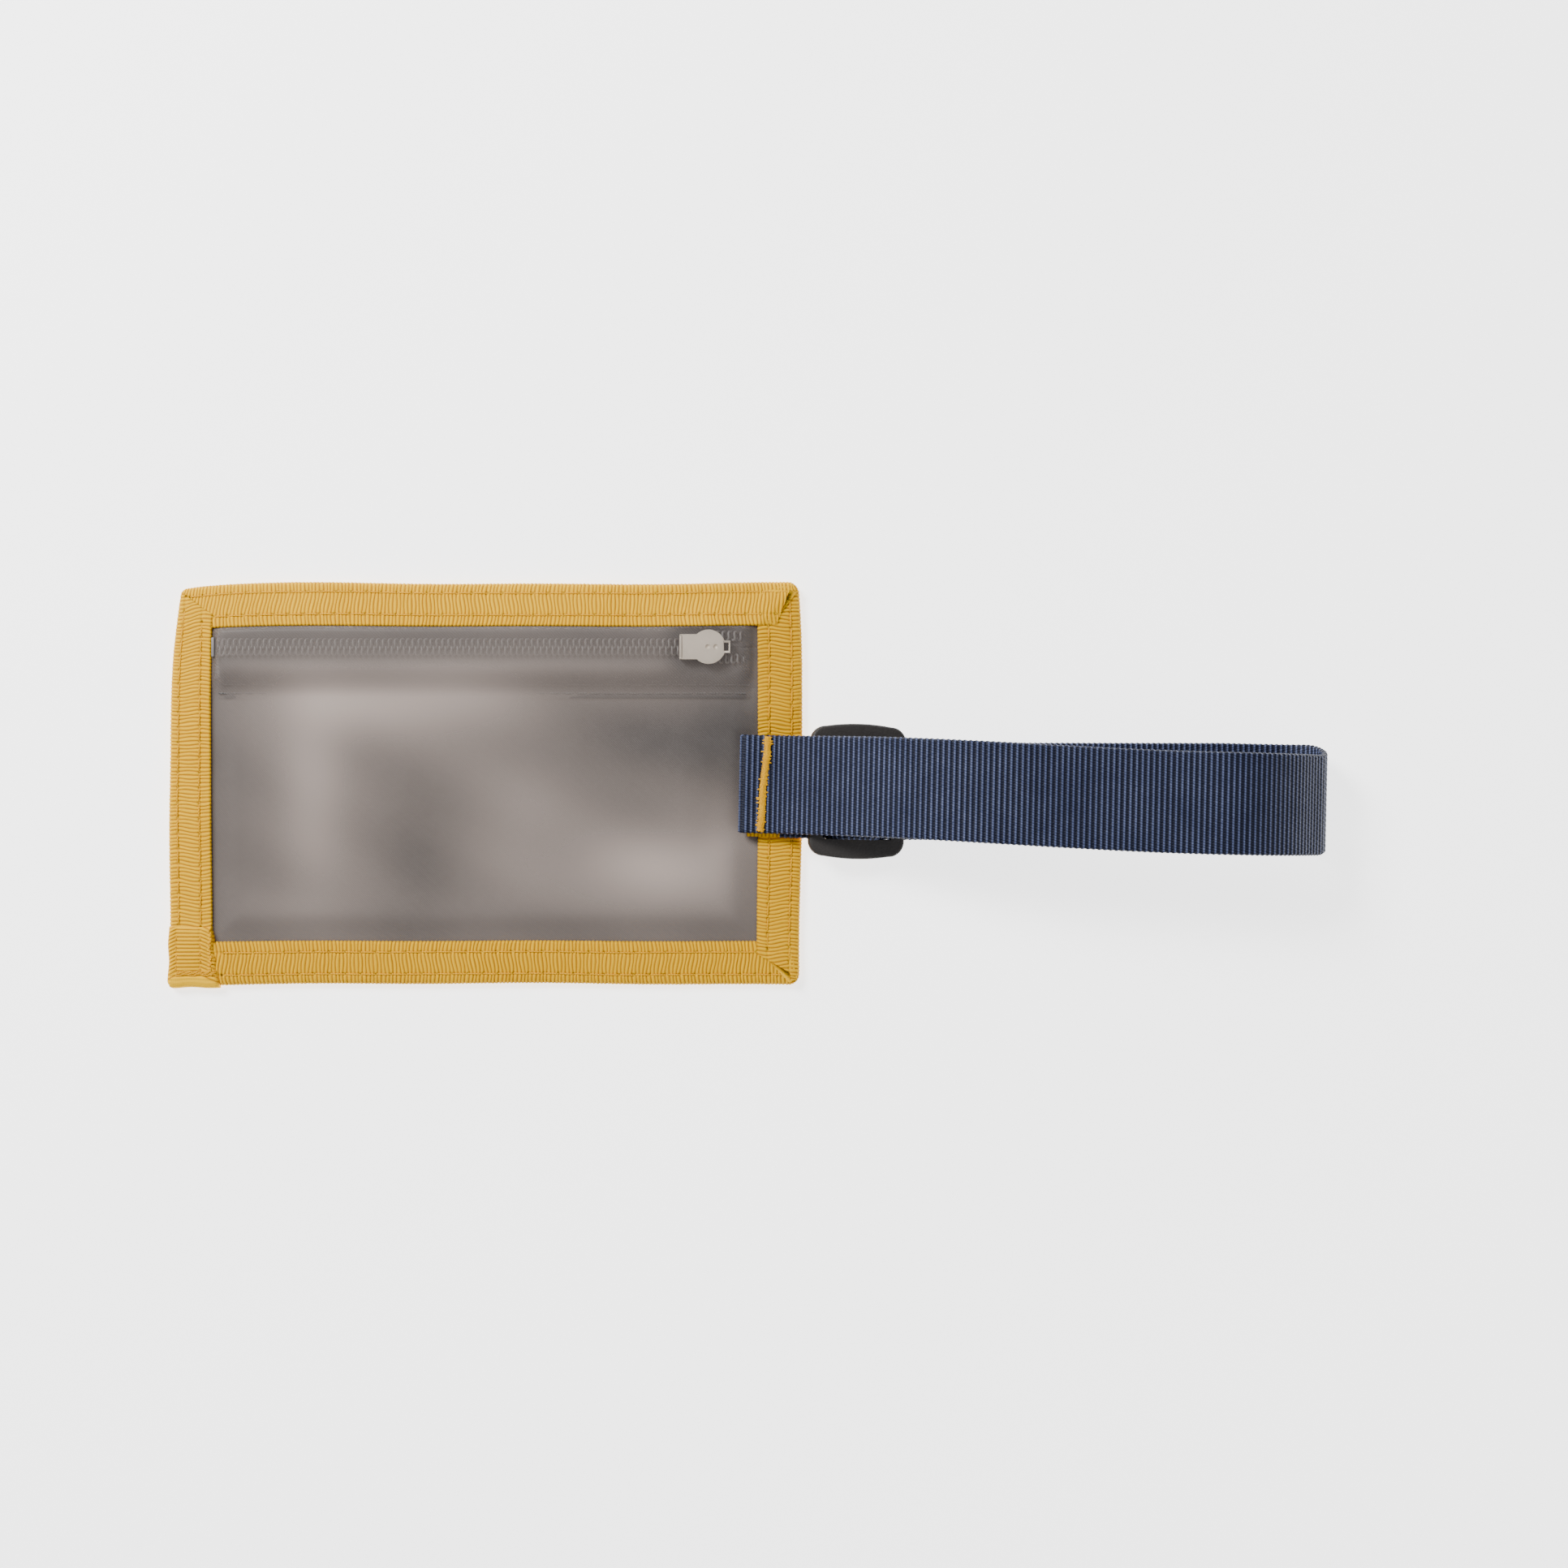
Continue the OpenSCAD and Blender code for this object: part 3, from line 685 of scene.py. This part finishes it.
def strap_line():
    """The middle of the webbing, from its raw end under the fold to its free tail."""
    stack = TAB_HIGH[2]
    low, high = stack + STRAP_T / 2, stack + STRAP_T * 1.5
    fold_x = node_box("strap_anchor")[0][0] + STRAP_T + 0.1
    tip_x = node_box("strap_tip")[1][0] - TIP_R - STRAP_T / 2
    path = [(6.0, low), (fold_x, low)]
    path += turn(path[-1], 180, STRAP_T / 2, -180)
    path.append((5.9, high))
    path += turn(path[-1], 0, 4.0, RISE)
    end_c = (tip_x, TIP_R + STRAP_T / 2)
    fall = math.radians(FALL)
    drop = (end_c[0] + TIP_R * math.cos(fall), end_c[1] + TIP_R * math.sin(fall))
    peak_side = (drop[0] - FALL_LEN * math.sin(fall), drop[1] + FALL_LEN * math.cos(fall))
    fall_c = (peak_side[0] - FALL_R * math.sin(fall), peak_side[1] - FALL_R * math.cos(fall))
    c, r = math.radians(CREST), math.radians(RISE)
    crest_end = (fall_c[0] - FALL_R * math.sin(c), fall_c[1] + FALL_R * math.cos(c))
    bend = (CREST_R * (math.sin(r) - math.sin(c)), CREST_R * (math.cos(c) - math.cos(r)))
    span = (crest_end[0] - path[-1][0] - bend[0], crest_end[1] - path[-1][1] - bend[1])
    rise_len = (span[1] * math.cos(c) - span[0] * math.sin(c)) / math.sin(r - c)
    path.append((path[-1][0] + rise_len * math.cos(r), path[-1][1] + rise_len * math.sin(r)))
    path += turn(path[-1], RISE, CREST_R, CREST - RISE)
    path.append(crest_end)
    path += turn(crest_end, CREST, FALL_R, -CREST - FALL)
    path.append(drop)
    path += turn(drop, -FALL, TIP_R, -(180 - FALL))
    over_w = 2.4 + 0.1 + TAPE_T + 0.05 + STRAP_T / 2
    path += [(40.0, STRAP_T / 2), (34.5, STRAP_T / 2), to_world(THREAD_END, THREAD_W)]
    for u, w in ((6.9, THREAD_W), (5.9, -0.3), (3.4, over_w - 0.5), (2.5, over_w), (0.0, over_w + 0.1),
                 (-2.5, over_w), (-3.4, over_w - 0.5), (-5.9, -0.3), (-6.9, THREAD_W), (-9.9, THREAD_W)):
        path.append(to_world(u, w))
    path += [(10.0, stack + 0.05 + STRAP_T / 2), (7.4, stack + 0.05 + STRAP_T / 2)]
    return np.array(path)


def resample(path, step, passes=2):
    """Even points along a line of points, with its sharp corners eased."""
    run = run_length(path)
    count = int(run[-1] / step) + 1
    at = np.linspace(0, run[-1], count)
    out = np.stack([np.interp(at, run, path[:, k]) for k in range(path.shape[1])], axis=1)
    for _ in range(passes):
        out[1:-1] = (out[:-2] + 2 * out[1:-1] + out[2:]) / 4
    return out, at


def ribbed_band(name, path, width, thickness, rib_pitch, rib_height, pick, shift, material,
                per_rib, across, waver=0.0):
    """A flat band along a line in x and z: ribs across both faces, rounded selvedges.
    pick is the pitch of a weft pattern across the band, or 0 for plain ribs."""
    line, at = resample(path, rib_pitch / per_rib)
    course = sideways(line) if pick else np.zeros(len(line))
    tangent = np.gradient(line, axis=0)
    tangent /= np.linalg.norm(tangent, axis=1)[:, None]
    normal = np.stack([-tangent[:, 1], tangent[:, 0]], axis=1)
    t = np.linspace(-1, 1, across)
    half = width / 2
    rib = np.abs(np.sin(math.pi * at / rib_pitch)) ** 0.8
    y = t * half
    if pick:
        phase = (np.floor(at / rib_pitch) % 2) * 0.5
        pattern = np.abs(np.sin(math.pi * (y[None, :] / pick + phase[:, None])))
        relief = rib_height * rib[:, None] * (0.62 + 0.38 * pattern)
        weft = np.abs(np.sin(math.pi * (y[None, :] / (pick / 2))))
        relief += rib_height * 0.30 * (1 - rib[:, None]) ** 2 * weft
    else:
        relief = rib_height * rib[:, None] * np.ones_like(y)[None, :]
    into_edge = np.clip(np.abs(y) - (half - EDGE_ROUND), 0, None) / EDGE_ROUND
    selvedge = np.sqrt(np.clip(1 - into_edge ** 2, 0, 1))
    depth = (thickness / 2 - rib_height) * (0.25 + 0.75 * selvedge)[None, :]
    depth = depth + relief * selvedge[None, :]
    edge_wave = waver * np.sin(2 * math.pi * at / rib_pitch)
    sides = []
    for sign in (1, -1):
        x = line[:, 0, None] + sign * depth * normal[:, 0, None]
        z = line[:, 1, None] + sign * depth * normal[:, 1, None]
        yy = y[None, :] * (1 + (edge_wave / half)[:, None] * np.abs(t)[None, :] ** 6)
        side = np.stack([x, yy + course[:, None], z], axis=-1)
        sides.append(side if sign > 0 else side[:, ::-1])
    ring = np.concatenate(sides, axis=1)
    n, m = ring.shape[:2]
    points = skewed(ring.reshape(-1, 3))
    points[:, 1] += shift
    faces = grid_faces(n, m, wrap=True)
    cap0 = [[j, m - 1 - j, m - 2 - j, j + 1] for j in range(across - 1)]
    base = (n - 1) * m
    cap1 = [[base + j + 1, base + m - 2 - j, base + m - 1 - j, base + j] for j in range(across - 1)]
    v = np.concatenate([y, y[::-1]])
    uvs = np.stack([np.repeat(at, m), np.tile(v + half, n)], axis=1)
    return turn_outward(make_object(name, points, faces + cap0 + cap1, uvs, material))


# ---------------------------------------------------------------- window, panel and zipper

# Broad swells where the film stands off the cloth: centre x, y, reach x, y and amount
SWELLS = ((-70, 16, 24, 7, 0.50), (-84, -3, 7, 19, 0.38), (-64, -13, 8, 15, -0.22), (-18, -17, 16, 8, 0.55),
          (-44, -6, 10, 14, 0.20), (-20, 9, 18, 8, -0.30), (-2, 9, 8, 9, -0.30), (-98, -6, 8, 25, -0.10),
          (-45, 22, 18, 5, 0.10), (-2, -14, 7, 9, 0.14), (-88, -26, 14, 5, 0.10))


def swell(x, y):
    """How far the film stands off the cloth at a place, from -1 to 1."""
    total = np.zeros_like(x)
    for cx, cy, rx, ry, amount in SWELLS:
        total += amount * np.exp(-((x - cx) / rx) ** 2 - ((y - cy) / ry) ** 2)
    return total


def sheet_mesh(name, x_range, y_range, thickness, height, material, step=0.9, haze=None):
    """A soft sheet of even thickness over a rectangle, its top at height(x, y)."""
    nx = int((x_range[1] - x_range[0]) / step) + 1
    ny = int((y_range[1] - y_range[0]) / step) + 1
    X, Y = np.meshgrid(np.linspace(*x_range, nx), np.linspace(*y_range, ny), indexing="ij")
    x, y = X.ravel(), Y.ravel()
    top = soften(np.stack([x, y, height(x, y)], axis=1))
    low = top - np.array([0, 0, thickness])
    uvs = np.stack([np.tile(x, 2), np.tile(y, 2)], axis=1)
    shares = {"haze": np.tile(haze(x, y), 2)} if haze else {}
    points = np.concatenate([top, low])
    return turn_outward(make_object(name, points, slab_faces(nx, ny), uvs, material, **shares))


def window_edge(x, y):
    """Distance in from the window's edge, negative under the binding."""
    return np.minimum.reduce([x - WIN_L, WIN_R - x, WIN_Y - y, y + WIN_Y])


def panel_height(x, y):
    """Height of the back panel's top before the pouch is lifted."""
    free = smooth(window_edge(x, y), 0, 5)
    level = PANEL_TOP - 1.0 * (1 - smooth(y, -26, 8)) - 0.9 * under_strap(x, y) - lift(x, y)
    rim = SEAM_TOP - 0.75
    return rim + (level + 0.10 * np.sin(x / 11 + 1) * np.sin(y / 8) - rim) * free


def film_height(x, y):
    """Height of the film's top before the pouch is lifted."""
    edge = window_edge(x, y)
    rim = SEAM_TOP - 0.05
    clear = panel_height(x, y) + 0.45 + 0.9 * np.clip(swell(x, y) + 0.3, 0, 1) * (1 - under_strap(x, y))
    low, floor = rim + (clear - rim) * smooth(edge, 0, 6), panel_height(x, y) + 0.42
    z = (low + floor + np.sqrt((low - floor) ** 2 + 0.05)) / 2
    over_zip = smooth(y, ZIP_Y - 9.5, ZIP_Y - 3.6) * smooth(WIN_Y + 0.2 - y, 0.0, 0.9)
    ends = smooth(x, WIN_L - 0.3, WIN_L + 2.6) * smooth(-x, 0.3 - WIN_R, 3.6 - WIN_R)
    roof = SLIDER_HIGH[2] + 0.55 - lift(x, y)
    return np.where(edge > 0, z + np.maximum(roof - z, 0) * over_zip * ends, rim)


def film_haze(x, y):
    """0 where the film touches what is below and shows it, 1 where it stands clear."""
    base = 0.40 + 0.95 * swell(x, y) + 0.04 * np.sin(x / 5 + y / 7) * np.sin(y / 4)
    base *= 0.7 + 0.3 * smooth(window_edge(x, y), 0.5, 9)
    touch = np.exp(-(((y - ZIP_Y) / 3.2) ** 4))
    slider_x = (SLIDER_LOW[0] + SLIDER_HIGH[0]) / 2
    slider = np.exp(-(((x - slider_x) / 7) ** 4) - ((y - ZIP_Y) / 5) ** 4)
    return np.clip(base * (1 - 0.25 * touch) * (1 - slider), 0, 1)


def tape_height(x, y):
    """Height of both zipper tapes before the pouch is lifted, lower where the binding holds them."""
    end = np.minimum(x - WIN_L, WIN_R - x)
    free = LOWER_TAPE_HIGH[2] - lift(x, y) - 0.95 * (1 - smooth(end, 0, 3.5))
    return free + (SEAM_TOP - 0.7 - free) * smooth(y, WIN_Y - 0.2, WIN_Y + 0.9)


def coil_paths(side):
    """One row of coil: a wire that turns once for each tooth, and spreads away past the slider."""
    pitch = 1.167
    x0, x1 = WIN_L + 1.0, WIN_R - 0.8
    turns = int((x1 - x0) / pitch)
    angle = np.linspace(0, 2 * math.pi * turns, turns * 14)
    x = x0 + angle / (2 * math.pi) * pitch + (0.5 * pitch if side < 0 else 0)
    x += 0.16 * np.sin(2 * angle)
    spread = 1.5 * smooth(x, SLIDER_LOW[0] + 3.5, SLIDER_LOW[0] + 7.5)
    y = ZIP_Y + side * (0.72 + spread - 0.86 * np.cos(angle))
    z = COIL_Z - 0.05 + 0.42 * np.sin(angle)
    sink = 1.9 * smooth(x, WIN_R - 5.1, WIN_R - 1.3) + 0.9 * (1 - smooth(x, x0, x0 + 2.5))
    return [np.stack([x, y, z - sink], axis=1)]


# ---------------------------------------------------------------- build everything

YELLOW = grosgrain()
YELLOW_THREAD = thread("thread_yellow", (0.62, 0.27, 0.0), (0.96, 0.55, 0.002))
GREY_THREAD = thread("thread_grey", (0.10, 0.095, 0.093), (0.19, 0.18, 0.175))
NAVY = webbing()
PANEL = panel_cloth("back_panel_twill", (0.050, 0.046, 0.046), (0.13, 0.120, 0.117))
TAPE = panel_cloth("zipper_tape_weave", (0.050, 0.046, 0.046), (0.13, 0.120, 0.117), 0.6)
FILM = frosted_film()
COIL = nylon_coil()
METAL = slider_metal()
PLASTIC = moulded_plastic()


def dress(obj, slot, *nodes):
    """Hides the CAD nodes that a piece stands for; its slot is not used."""
    if nodes:
        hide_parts(*nodes)
    return obj


def finish_piece(obj, body, slot, *nodes):
    """Makes a piece ride on a body, and dresses it."""
    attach(obj, body)
    return dress(obj, slot, *nodes)


SIDES = {
    "top": dict(origin=(LEFT, HALF, 0), along=(1, 0, 0), inward=(0, -1, 0), length=RIGHT - LEFT,
                cut_start=(0.0, 0.75, 0), cut_end=(1.25, 0.435, 1.9), over_end=1),
    "right": dict(origin=(RIGHT, HALF, 0), along=(0, -1, 0), inward=(-1, 0, 0), length=2 * HALF,
                  cut_start=(0.0, 0.25, 0), cut_end=(1.43, 0.54, 1.9), over_end=1),
    "bottom": dict(origin=(RIGHT, -HALF, 0), along=(-1, 0, 0), inward=(0, 1, 0), length=RIGHT - LEFT,
                   cut_start=(0.0, 0.25, 0), cut_end=(0.0, 0.8, 0), over_end=0),
    "left": dict(origin=(LEFT, -HALF, 0), along=(0, 1, 0), inward=(1, 0, 0), length=2 * HALF,
                 cut_start=(0.0, 0.0, 0), cut_end=(0.2, 0.66, 0), over_end=1),
}


def build_binding():
    for side, facts in SIDES.items():
        piece = binding("binding_" + side + "_tape", material=YELLOW, **facts)
        finish_piece(piece, "pouch", "binding_tape", "binding_" + side)


def build_stitching():
    outer, inner = [], []
    for side, facts in SIDES.items():
        place = (facts["origin"], facts["along"], facts["inward"])
        trim = 4 * STITCH if side == "left" else STITCH
        last = LAP_W - 0.3 if side == "bottom" else 1.8
        outer += stitch_row(*place, ROWS[0], trim, facts["length"] - last)
        inner += stitch_row(*place, ROWS[1], max(trim, 2 * STITCH), facts["length"] - max(last, 6.0))
    for name, paths in (("outer", outer), ("inner", inner)):
        piece = threads("stitching_" + name, paths, 0.17, YELLOW_THREAD)
        finish_piece(piece, "pouch", "yellow_thread", "edge_stitching_" + name)


def build_lap():
    """The lapped end of the binding: a thick ribbed patch over the corner, with its hem and stitches."""
    nx, ny = 90, int(LAP_H / RIB) * 8 + 1
    share, level = np.meshgrid(np.linspace(0, 1, nx), np.linspace(-LAP_OUT, LAP_H, ny), indexing="ij")
    y = level.ravel()
    x = -LAP_OUT + share.ravel() * (lap_width(y) + LAP_OUT)
    top = lap_place(x, y)
    low = top.copy()
    low[:, 2] = LAP_LOW
    top[:, 2] = np.maximum(top[:, 2], LAP_LOW + 0.05)
    points = soften(np.concatenate([top, low]))
    first_rib = 2.5 * RIB
    uvs = np.stack([np.tile(np.maximum(lap_turn(x, y), first_rib), 2), np.tile(x, 2)], axis=1)
    piece = turn_outward(make_object("binding_end_lap", points, slab_faces(nx, ny), uvs, YELLOW))
    finish_piece(piece, "pouch", "binding_tape", "binding_end_fold")
    sewn = threads("binding_end_lap_thread", lap_stitches(), 0.15, YELLOW_THREAD)
    finish_piece(sewn, "pouch", "yellow_thread")


def window_sheet(name, y_low, y_high, thickness, height, slot, node, material, step=0.9, haze=None):
    """A sheet as wide as the window, sewn in at both ends."""
    x_low, x_high = WIN_L - SEWN_IN, WIN_R + SEWN_IN
    piece = sheet_mesh(name, (x_low, x_high), (y_low, y_high), thickness, height, material, step, haze)
    finish_piece(piece, "pouch", slot, node)


def build_window():
    bottom, top = -WIN_Y - SEWN_IN, WIN_Y + SEWN_IN
    seam, meet = LOWER_TAPE_LOW[1], 0.02
    window_sheet("window_film_sheet", bottom, top, 0.3, film_height, "film", "window_film",
                 FILM, step=0.6, haze=film_haze)
    window_sheet("back_panel_sheet", bottom, seam + 2, 0.4, panel_height, "panel_cloth", "back_panel", PANEL)
    window_sheet("zipper_tape_lower_sheet", seam, ZIP_Y + meet, 0.4, tape_height, "zipper_tape",
                 "zipper_tape_lower", TAPE)
    window_sheet("zipper_tape_upper_sheet", ZIP_Y - meet, ZIP_Y - meet + UPPER_TAPE_W, 0.4, tape_height,
                 "zipper_tape", "zipper_tape_upper", TAPE, step=0.5)


def build_zipper():
    for side, name in ((1, "upper"), (-1, "lower")):
        row = threads("coil_row_" + name, coil_paths(side), 0.24, COIL)
        finish_piece(row, "pouch", "zipper_coil", "zipper_coil_" + name)
    stop = rounded_copy("zipper_end_stop", "zipper_stop", 0.2, COIL)
    finish_piece(stop, "pouch", "slider_metal")
    pitch, stitch = 2.6, 2.0
    t = np.linspace(0, 1, 7)
    seam = []
    for k, y in enumerate((LOWER_TAPE_LOW[1] + 1.0, LOWER_TAPE_LOW[1] + 2.6)):
        for i in range(int((WIN_R - WIN_L - 3) / pitch)):
            x = WIN_L + 1.5 + pitch * (i + 0.3 * k) + stitch * t
            z = LOWER_TAPE_HIGH[2] + 0.02 + 0.10 * np.sin(math.pi * t)
            seam.append(np.stack([x, np.full_like(x, y), z], axis=1))
    sewn = threads("zipper_seam_thread", seam, 0.13, GREY_THREAD)
    finish_piece(sewn, "pouch", "grey_thread", "zipper_seam_stitching")


def cut_away(obj, *cutters):
    """Takes the cutters' shapes out of a mesh and removes them."""
    for cutter in cutters:
        step = obj.modifiers.new("cut", "BOOLEAN")
        step.operation = "DIFFERENCE"
        step.object = cutter
    done = bpy.data.meshes.new_from_object(obj.evaluated_get(bpy.context.evaluated_depsgraph_get()))
    obj.modifiers.clear()
    obj.data = done
    for cutter in cutters:
        bpy.data.objects.remove(cutter)


def box_solid(low, high):
    x, y, z = zip(low, high)
    corners = [(x[i], y[j], z[k]) for i in (0, 1) for j in (0, 1) for k in (0, 1)]
    sides = [[0, 1, 3, 2], [4, 6, 7, 5], [0, 4, 5, 1], [2, 3, 7, 6], [0, 2, 6, 4], [1, 5, 7, 3]]
    return make_object("cutter", corners, sides)


def dimple(x, y, z, radius, depth):
    """A shallow ball of the given mouth radius, for cutting a dimple into a face at height z."""
    ball = (radius ** 2 + depth ** 2) / (2 * depth)
    bm = bmesh.new()
    bmesh.ops.create_icosphere(bm, subdivisions=5, radius=ball * MM)
    mesh = bpy.data.meshes.new("cutter")
    bm.to_mesh(mesh)
    bm.free()
    obj = bpy.data.objects.new("cutter", mesh)
    obj.location = Vector((x, y, z + ball - depth)) * MM
    bpy.context.scene.collection.objects.link(obj)
    return obj


def build_slider():
    plates = rounded_copy("slider_plates", "slider_body", 0.16, METAL, 3)
    right, top = SLIDER_HIGH[0], SLIDER_HIGH[2]
    slot = box_solid((right - 1.25, ZIP_Y - 0.8, SLIDER_LOW[2] - 1), (right - 0.3, ZIP_Y + 0.8, top + 1))
    dimples = [dimple(right - inset, ZIP_Y, top, 0.48, 0.32) for inset in (4.4, 2.85)]
    cut_away(plates, slot, *dimples)
    finish_piece(plates, "slider", "slider_metal")
    lip_x, lip_half = SLIDER_LOW[0] + 0.25, 2.25
    lip = [(lip_x, ZIP_Y + y, top - 0.06 - 0.12 * abs(y / 2.2) ** 6)
           for y in np.linspace(-lip_half, lip_half, 15)]
    finish_piece(threads("slider_lip", [np.array(lip)], 0.3, METAL, 10), "slider", "slider_metal")
    finish_piece(rounded_copy("slider_bridge", "slider_crown", 0.18, METAL, 3), "slider", "slider_metal")
    finish_piece(rounded_copy("pull_tab", "puller_tab", 0.14, METAL, 3), "puller", "slider_metal")


def build_buckle():
    frame_piece = rounded_copy("buckle_frame", "buckle", 0.6, PLASTIC, 4, inner=0.25)
    finish_piece(frame_piece, "buckle", "buckle_plastic")


def tab_line():
    """The middle of the folded tab: in from the binding, round the buckle's bar and back."""
    ring = 1.8 + 0.1 + TAPE_T / 2       # half the length of its loop round the bar
    low_w, high_w = -0.1 - TAPE_T / 2, 2.5 + TAPE_T / 2
    bend_u, end_u = -5.6, -9.6          # where it straightens, and where it meets the binding
    upper_w, lower_w = -1.62, -2.15     # its two layers there
    sewn = BIND_T + TAPE_T + 0.12
    upper_z, lower_z = sewn + 0.22, sewn - 0.32
    path = [(TAB_LOW[0], upper_z), (RIGHT, upper_z)]
    for u, w in ((end_u, upper_w), (bend_u, upper_w), (-ring + 0.1, low_w + 0.3), (-ring, 1.0),
                 (-ring + 0.2, high_w), (ring - 0.2, high_w), (ring, 1.0), (ring - 0.3, low_w),
                 (-ring - 0.3, low_w - 0.15), (bend_u, lower_w), (end_u, lower_w)):
        path.append(to_world(u, w))
    path += [(RIGHT, lower_z), (TAB_LOW[0], lower_z)]
    return np.array(path)


def build_strap():
    strap = ribbed_band("strap_web", strap_line(), STRAP_W + 0.15, STRAP_T, WEB_RIB, 0.24, WEB_PICK, 0.0,
                        NAVY, per_rib=6, across=79, waver=0.07)
    webs = [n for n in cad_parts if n.startswith("strap_") and n != "strap_bartack"]
    dress(strap, "webbing", *webs)
    tab = ribbed_band("buckle_tab_tape", tab_line(), STRAP_W, TAPE_T, RIB, 0.08, 0, -0.8, YELLOW,
                      per_rib=5, across=17)
    dress(tab, "binding_tape", "tab_anchor", "buckle_tab")
    for piece in (strap, tab):
        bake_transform(piece)


def build_bartack():
    """A dense zigzag of yellow thread across the strap, over a few straight runs."""
    half = STRAP_W / 2 - 0.25
    top = node_box("strap_anchor")[1][2] + 0.04

    def middle(t):
        return 4.65 - 1.15 * t + 0.12 * np.sin(9 * t)

    paths = []
    for count, phase in ((76, 0.0), (58, 0.5)):
        path = []
        for i in range(count * 2):
            t = (i + phase) / (count * 2)
            spike = 0.55 * rng.random() if rng.random() > 0.72 else 0
            reach = (0.62 + 0.16 * rng.random() + spike) * (1 if i % 2 else -1)
            y = half - 2 * half * t
            path.append((middle(t) + reach, y + 0.08 * rng.standard_normal(), top - 0.04))
            path.append((middle(t), y - half / count / 2, top + 0.14 + 0.06 * rng.random()))
        fine, _ = resample(np.array(path), 0.15, 1)
        paths.append(skewed(fine))
    for offset in (-0.35, 0.1, 0.45):
        t = np.linspace(0, 1, 60)
        x = middle(t) + offset + 0.08 * np.sin(40 * t + offset)
        paths.append(skewed(np.stack([x, half - 2 * half * t, top + 0.03 * np.sin(70 * t)], axis=1)))
    piece = threads("strap_bartack_thread", paths, 0.13, YELLOW_THREAD)
    finish_piece(piece, "pouch", "yellow_thread", "strap_bartack")


def build_stage():
    """A pale floor, soft lamps from the upper left and a camera straight above."""
    paper = Nodes("floor_paper", 0.9)
    paper.colour((0.95, 0.95, 0.95, 1))
    paper.shader.inputs["Emission Color"].default_value = (1, 1, 1, 1)
    paper.shader.inputs["Emission Strength"].default_value = 2.6
    reach, below = 3000, -0.02
    corners = [(-reach, -reach, below), (reach, -reach, below), (reach, reach, below), (-reach, reach, below)]
    floor = make_object("floor", corners, [[0, 1, 2, 3]], None, paper.material, flat=True)
    world = bpy.data.worlds.new("studio")
    bpy.context.scene.world = world
    world.use_nodes = True
    world.node_tree.nodes["Background"].inputs[0].default_value = (1, 1, 1, 1)
    world.node_tree.nodes["Background"].inputs[1].default_value = 0.29
    lamps = (("key", (-0.42, 0.40, 0.52), 0.26, 9.6), ("fill", (0.5, -0.3, 0.6), 0.5, 1.5))
    for name, place, size, power in lamps:
        lamp = bpy.data.lights.new(name, "AREA")
        lamp.size = size
        lamp.energy = power
        obj = bpy.data.objects.new(name, lamp)
        obj.location = place
        obj.rotation_euler = (-Vector(place)).to_track_quat("-Z", "Y").to_euler()
        bpy.context.scene.collection.objects.link(obj)
    camera = bpy.data.cameras.new("camera")
    camera.sensor_width = 36
    camera.lens = 46.4
    eye = bpy.data.objects.new("camera", camera)
    eye.location = (0.008, 0.0, 0.400)
    bpy.context.scene.collection.objects.link(eye)
    bpy.context.scene.camera = eye


build_stage()
build_binding()
build_stitching()
build_lap()
build_window()
build_zipper()
build_slider()
build_buckle()
build_strap()
build_bartack()
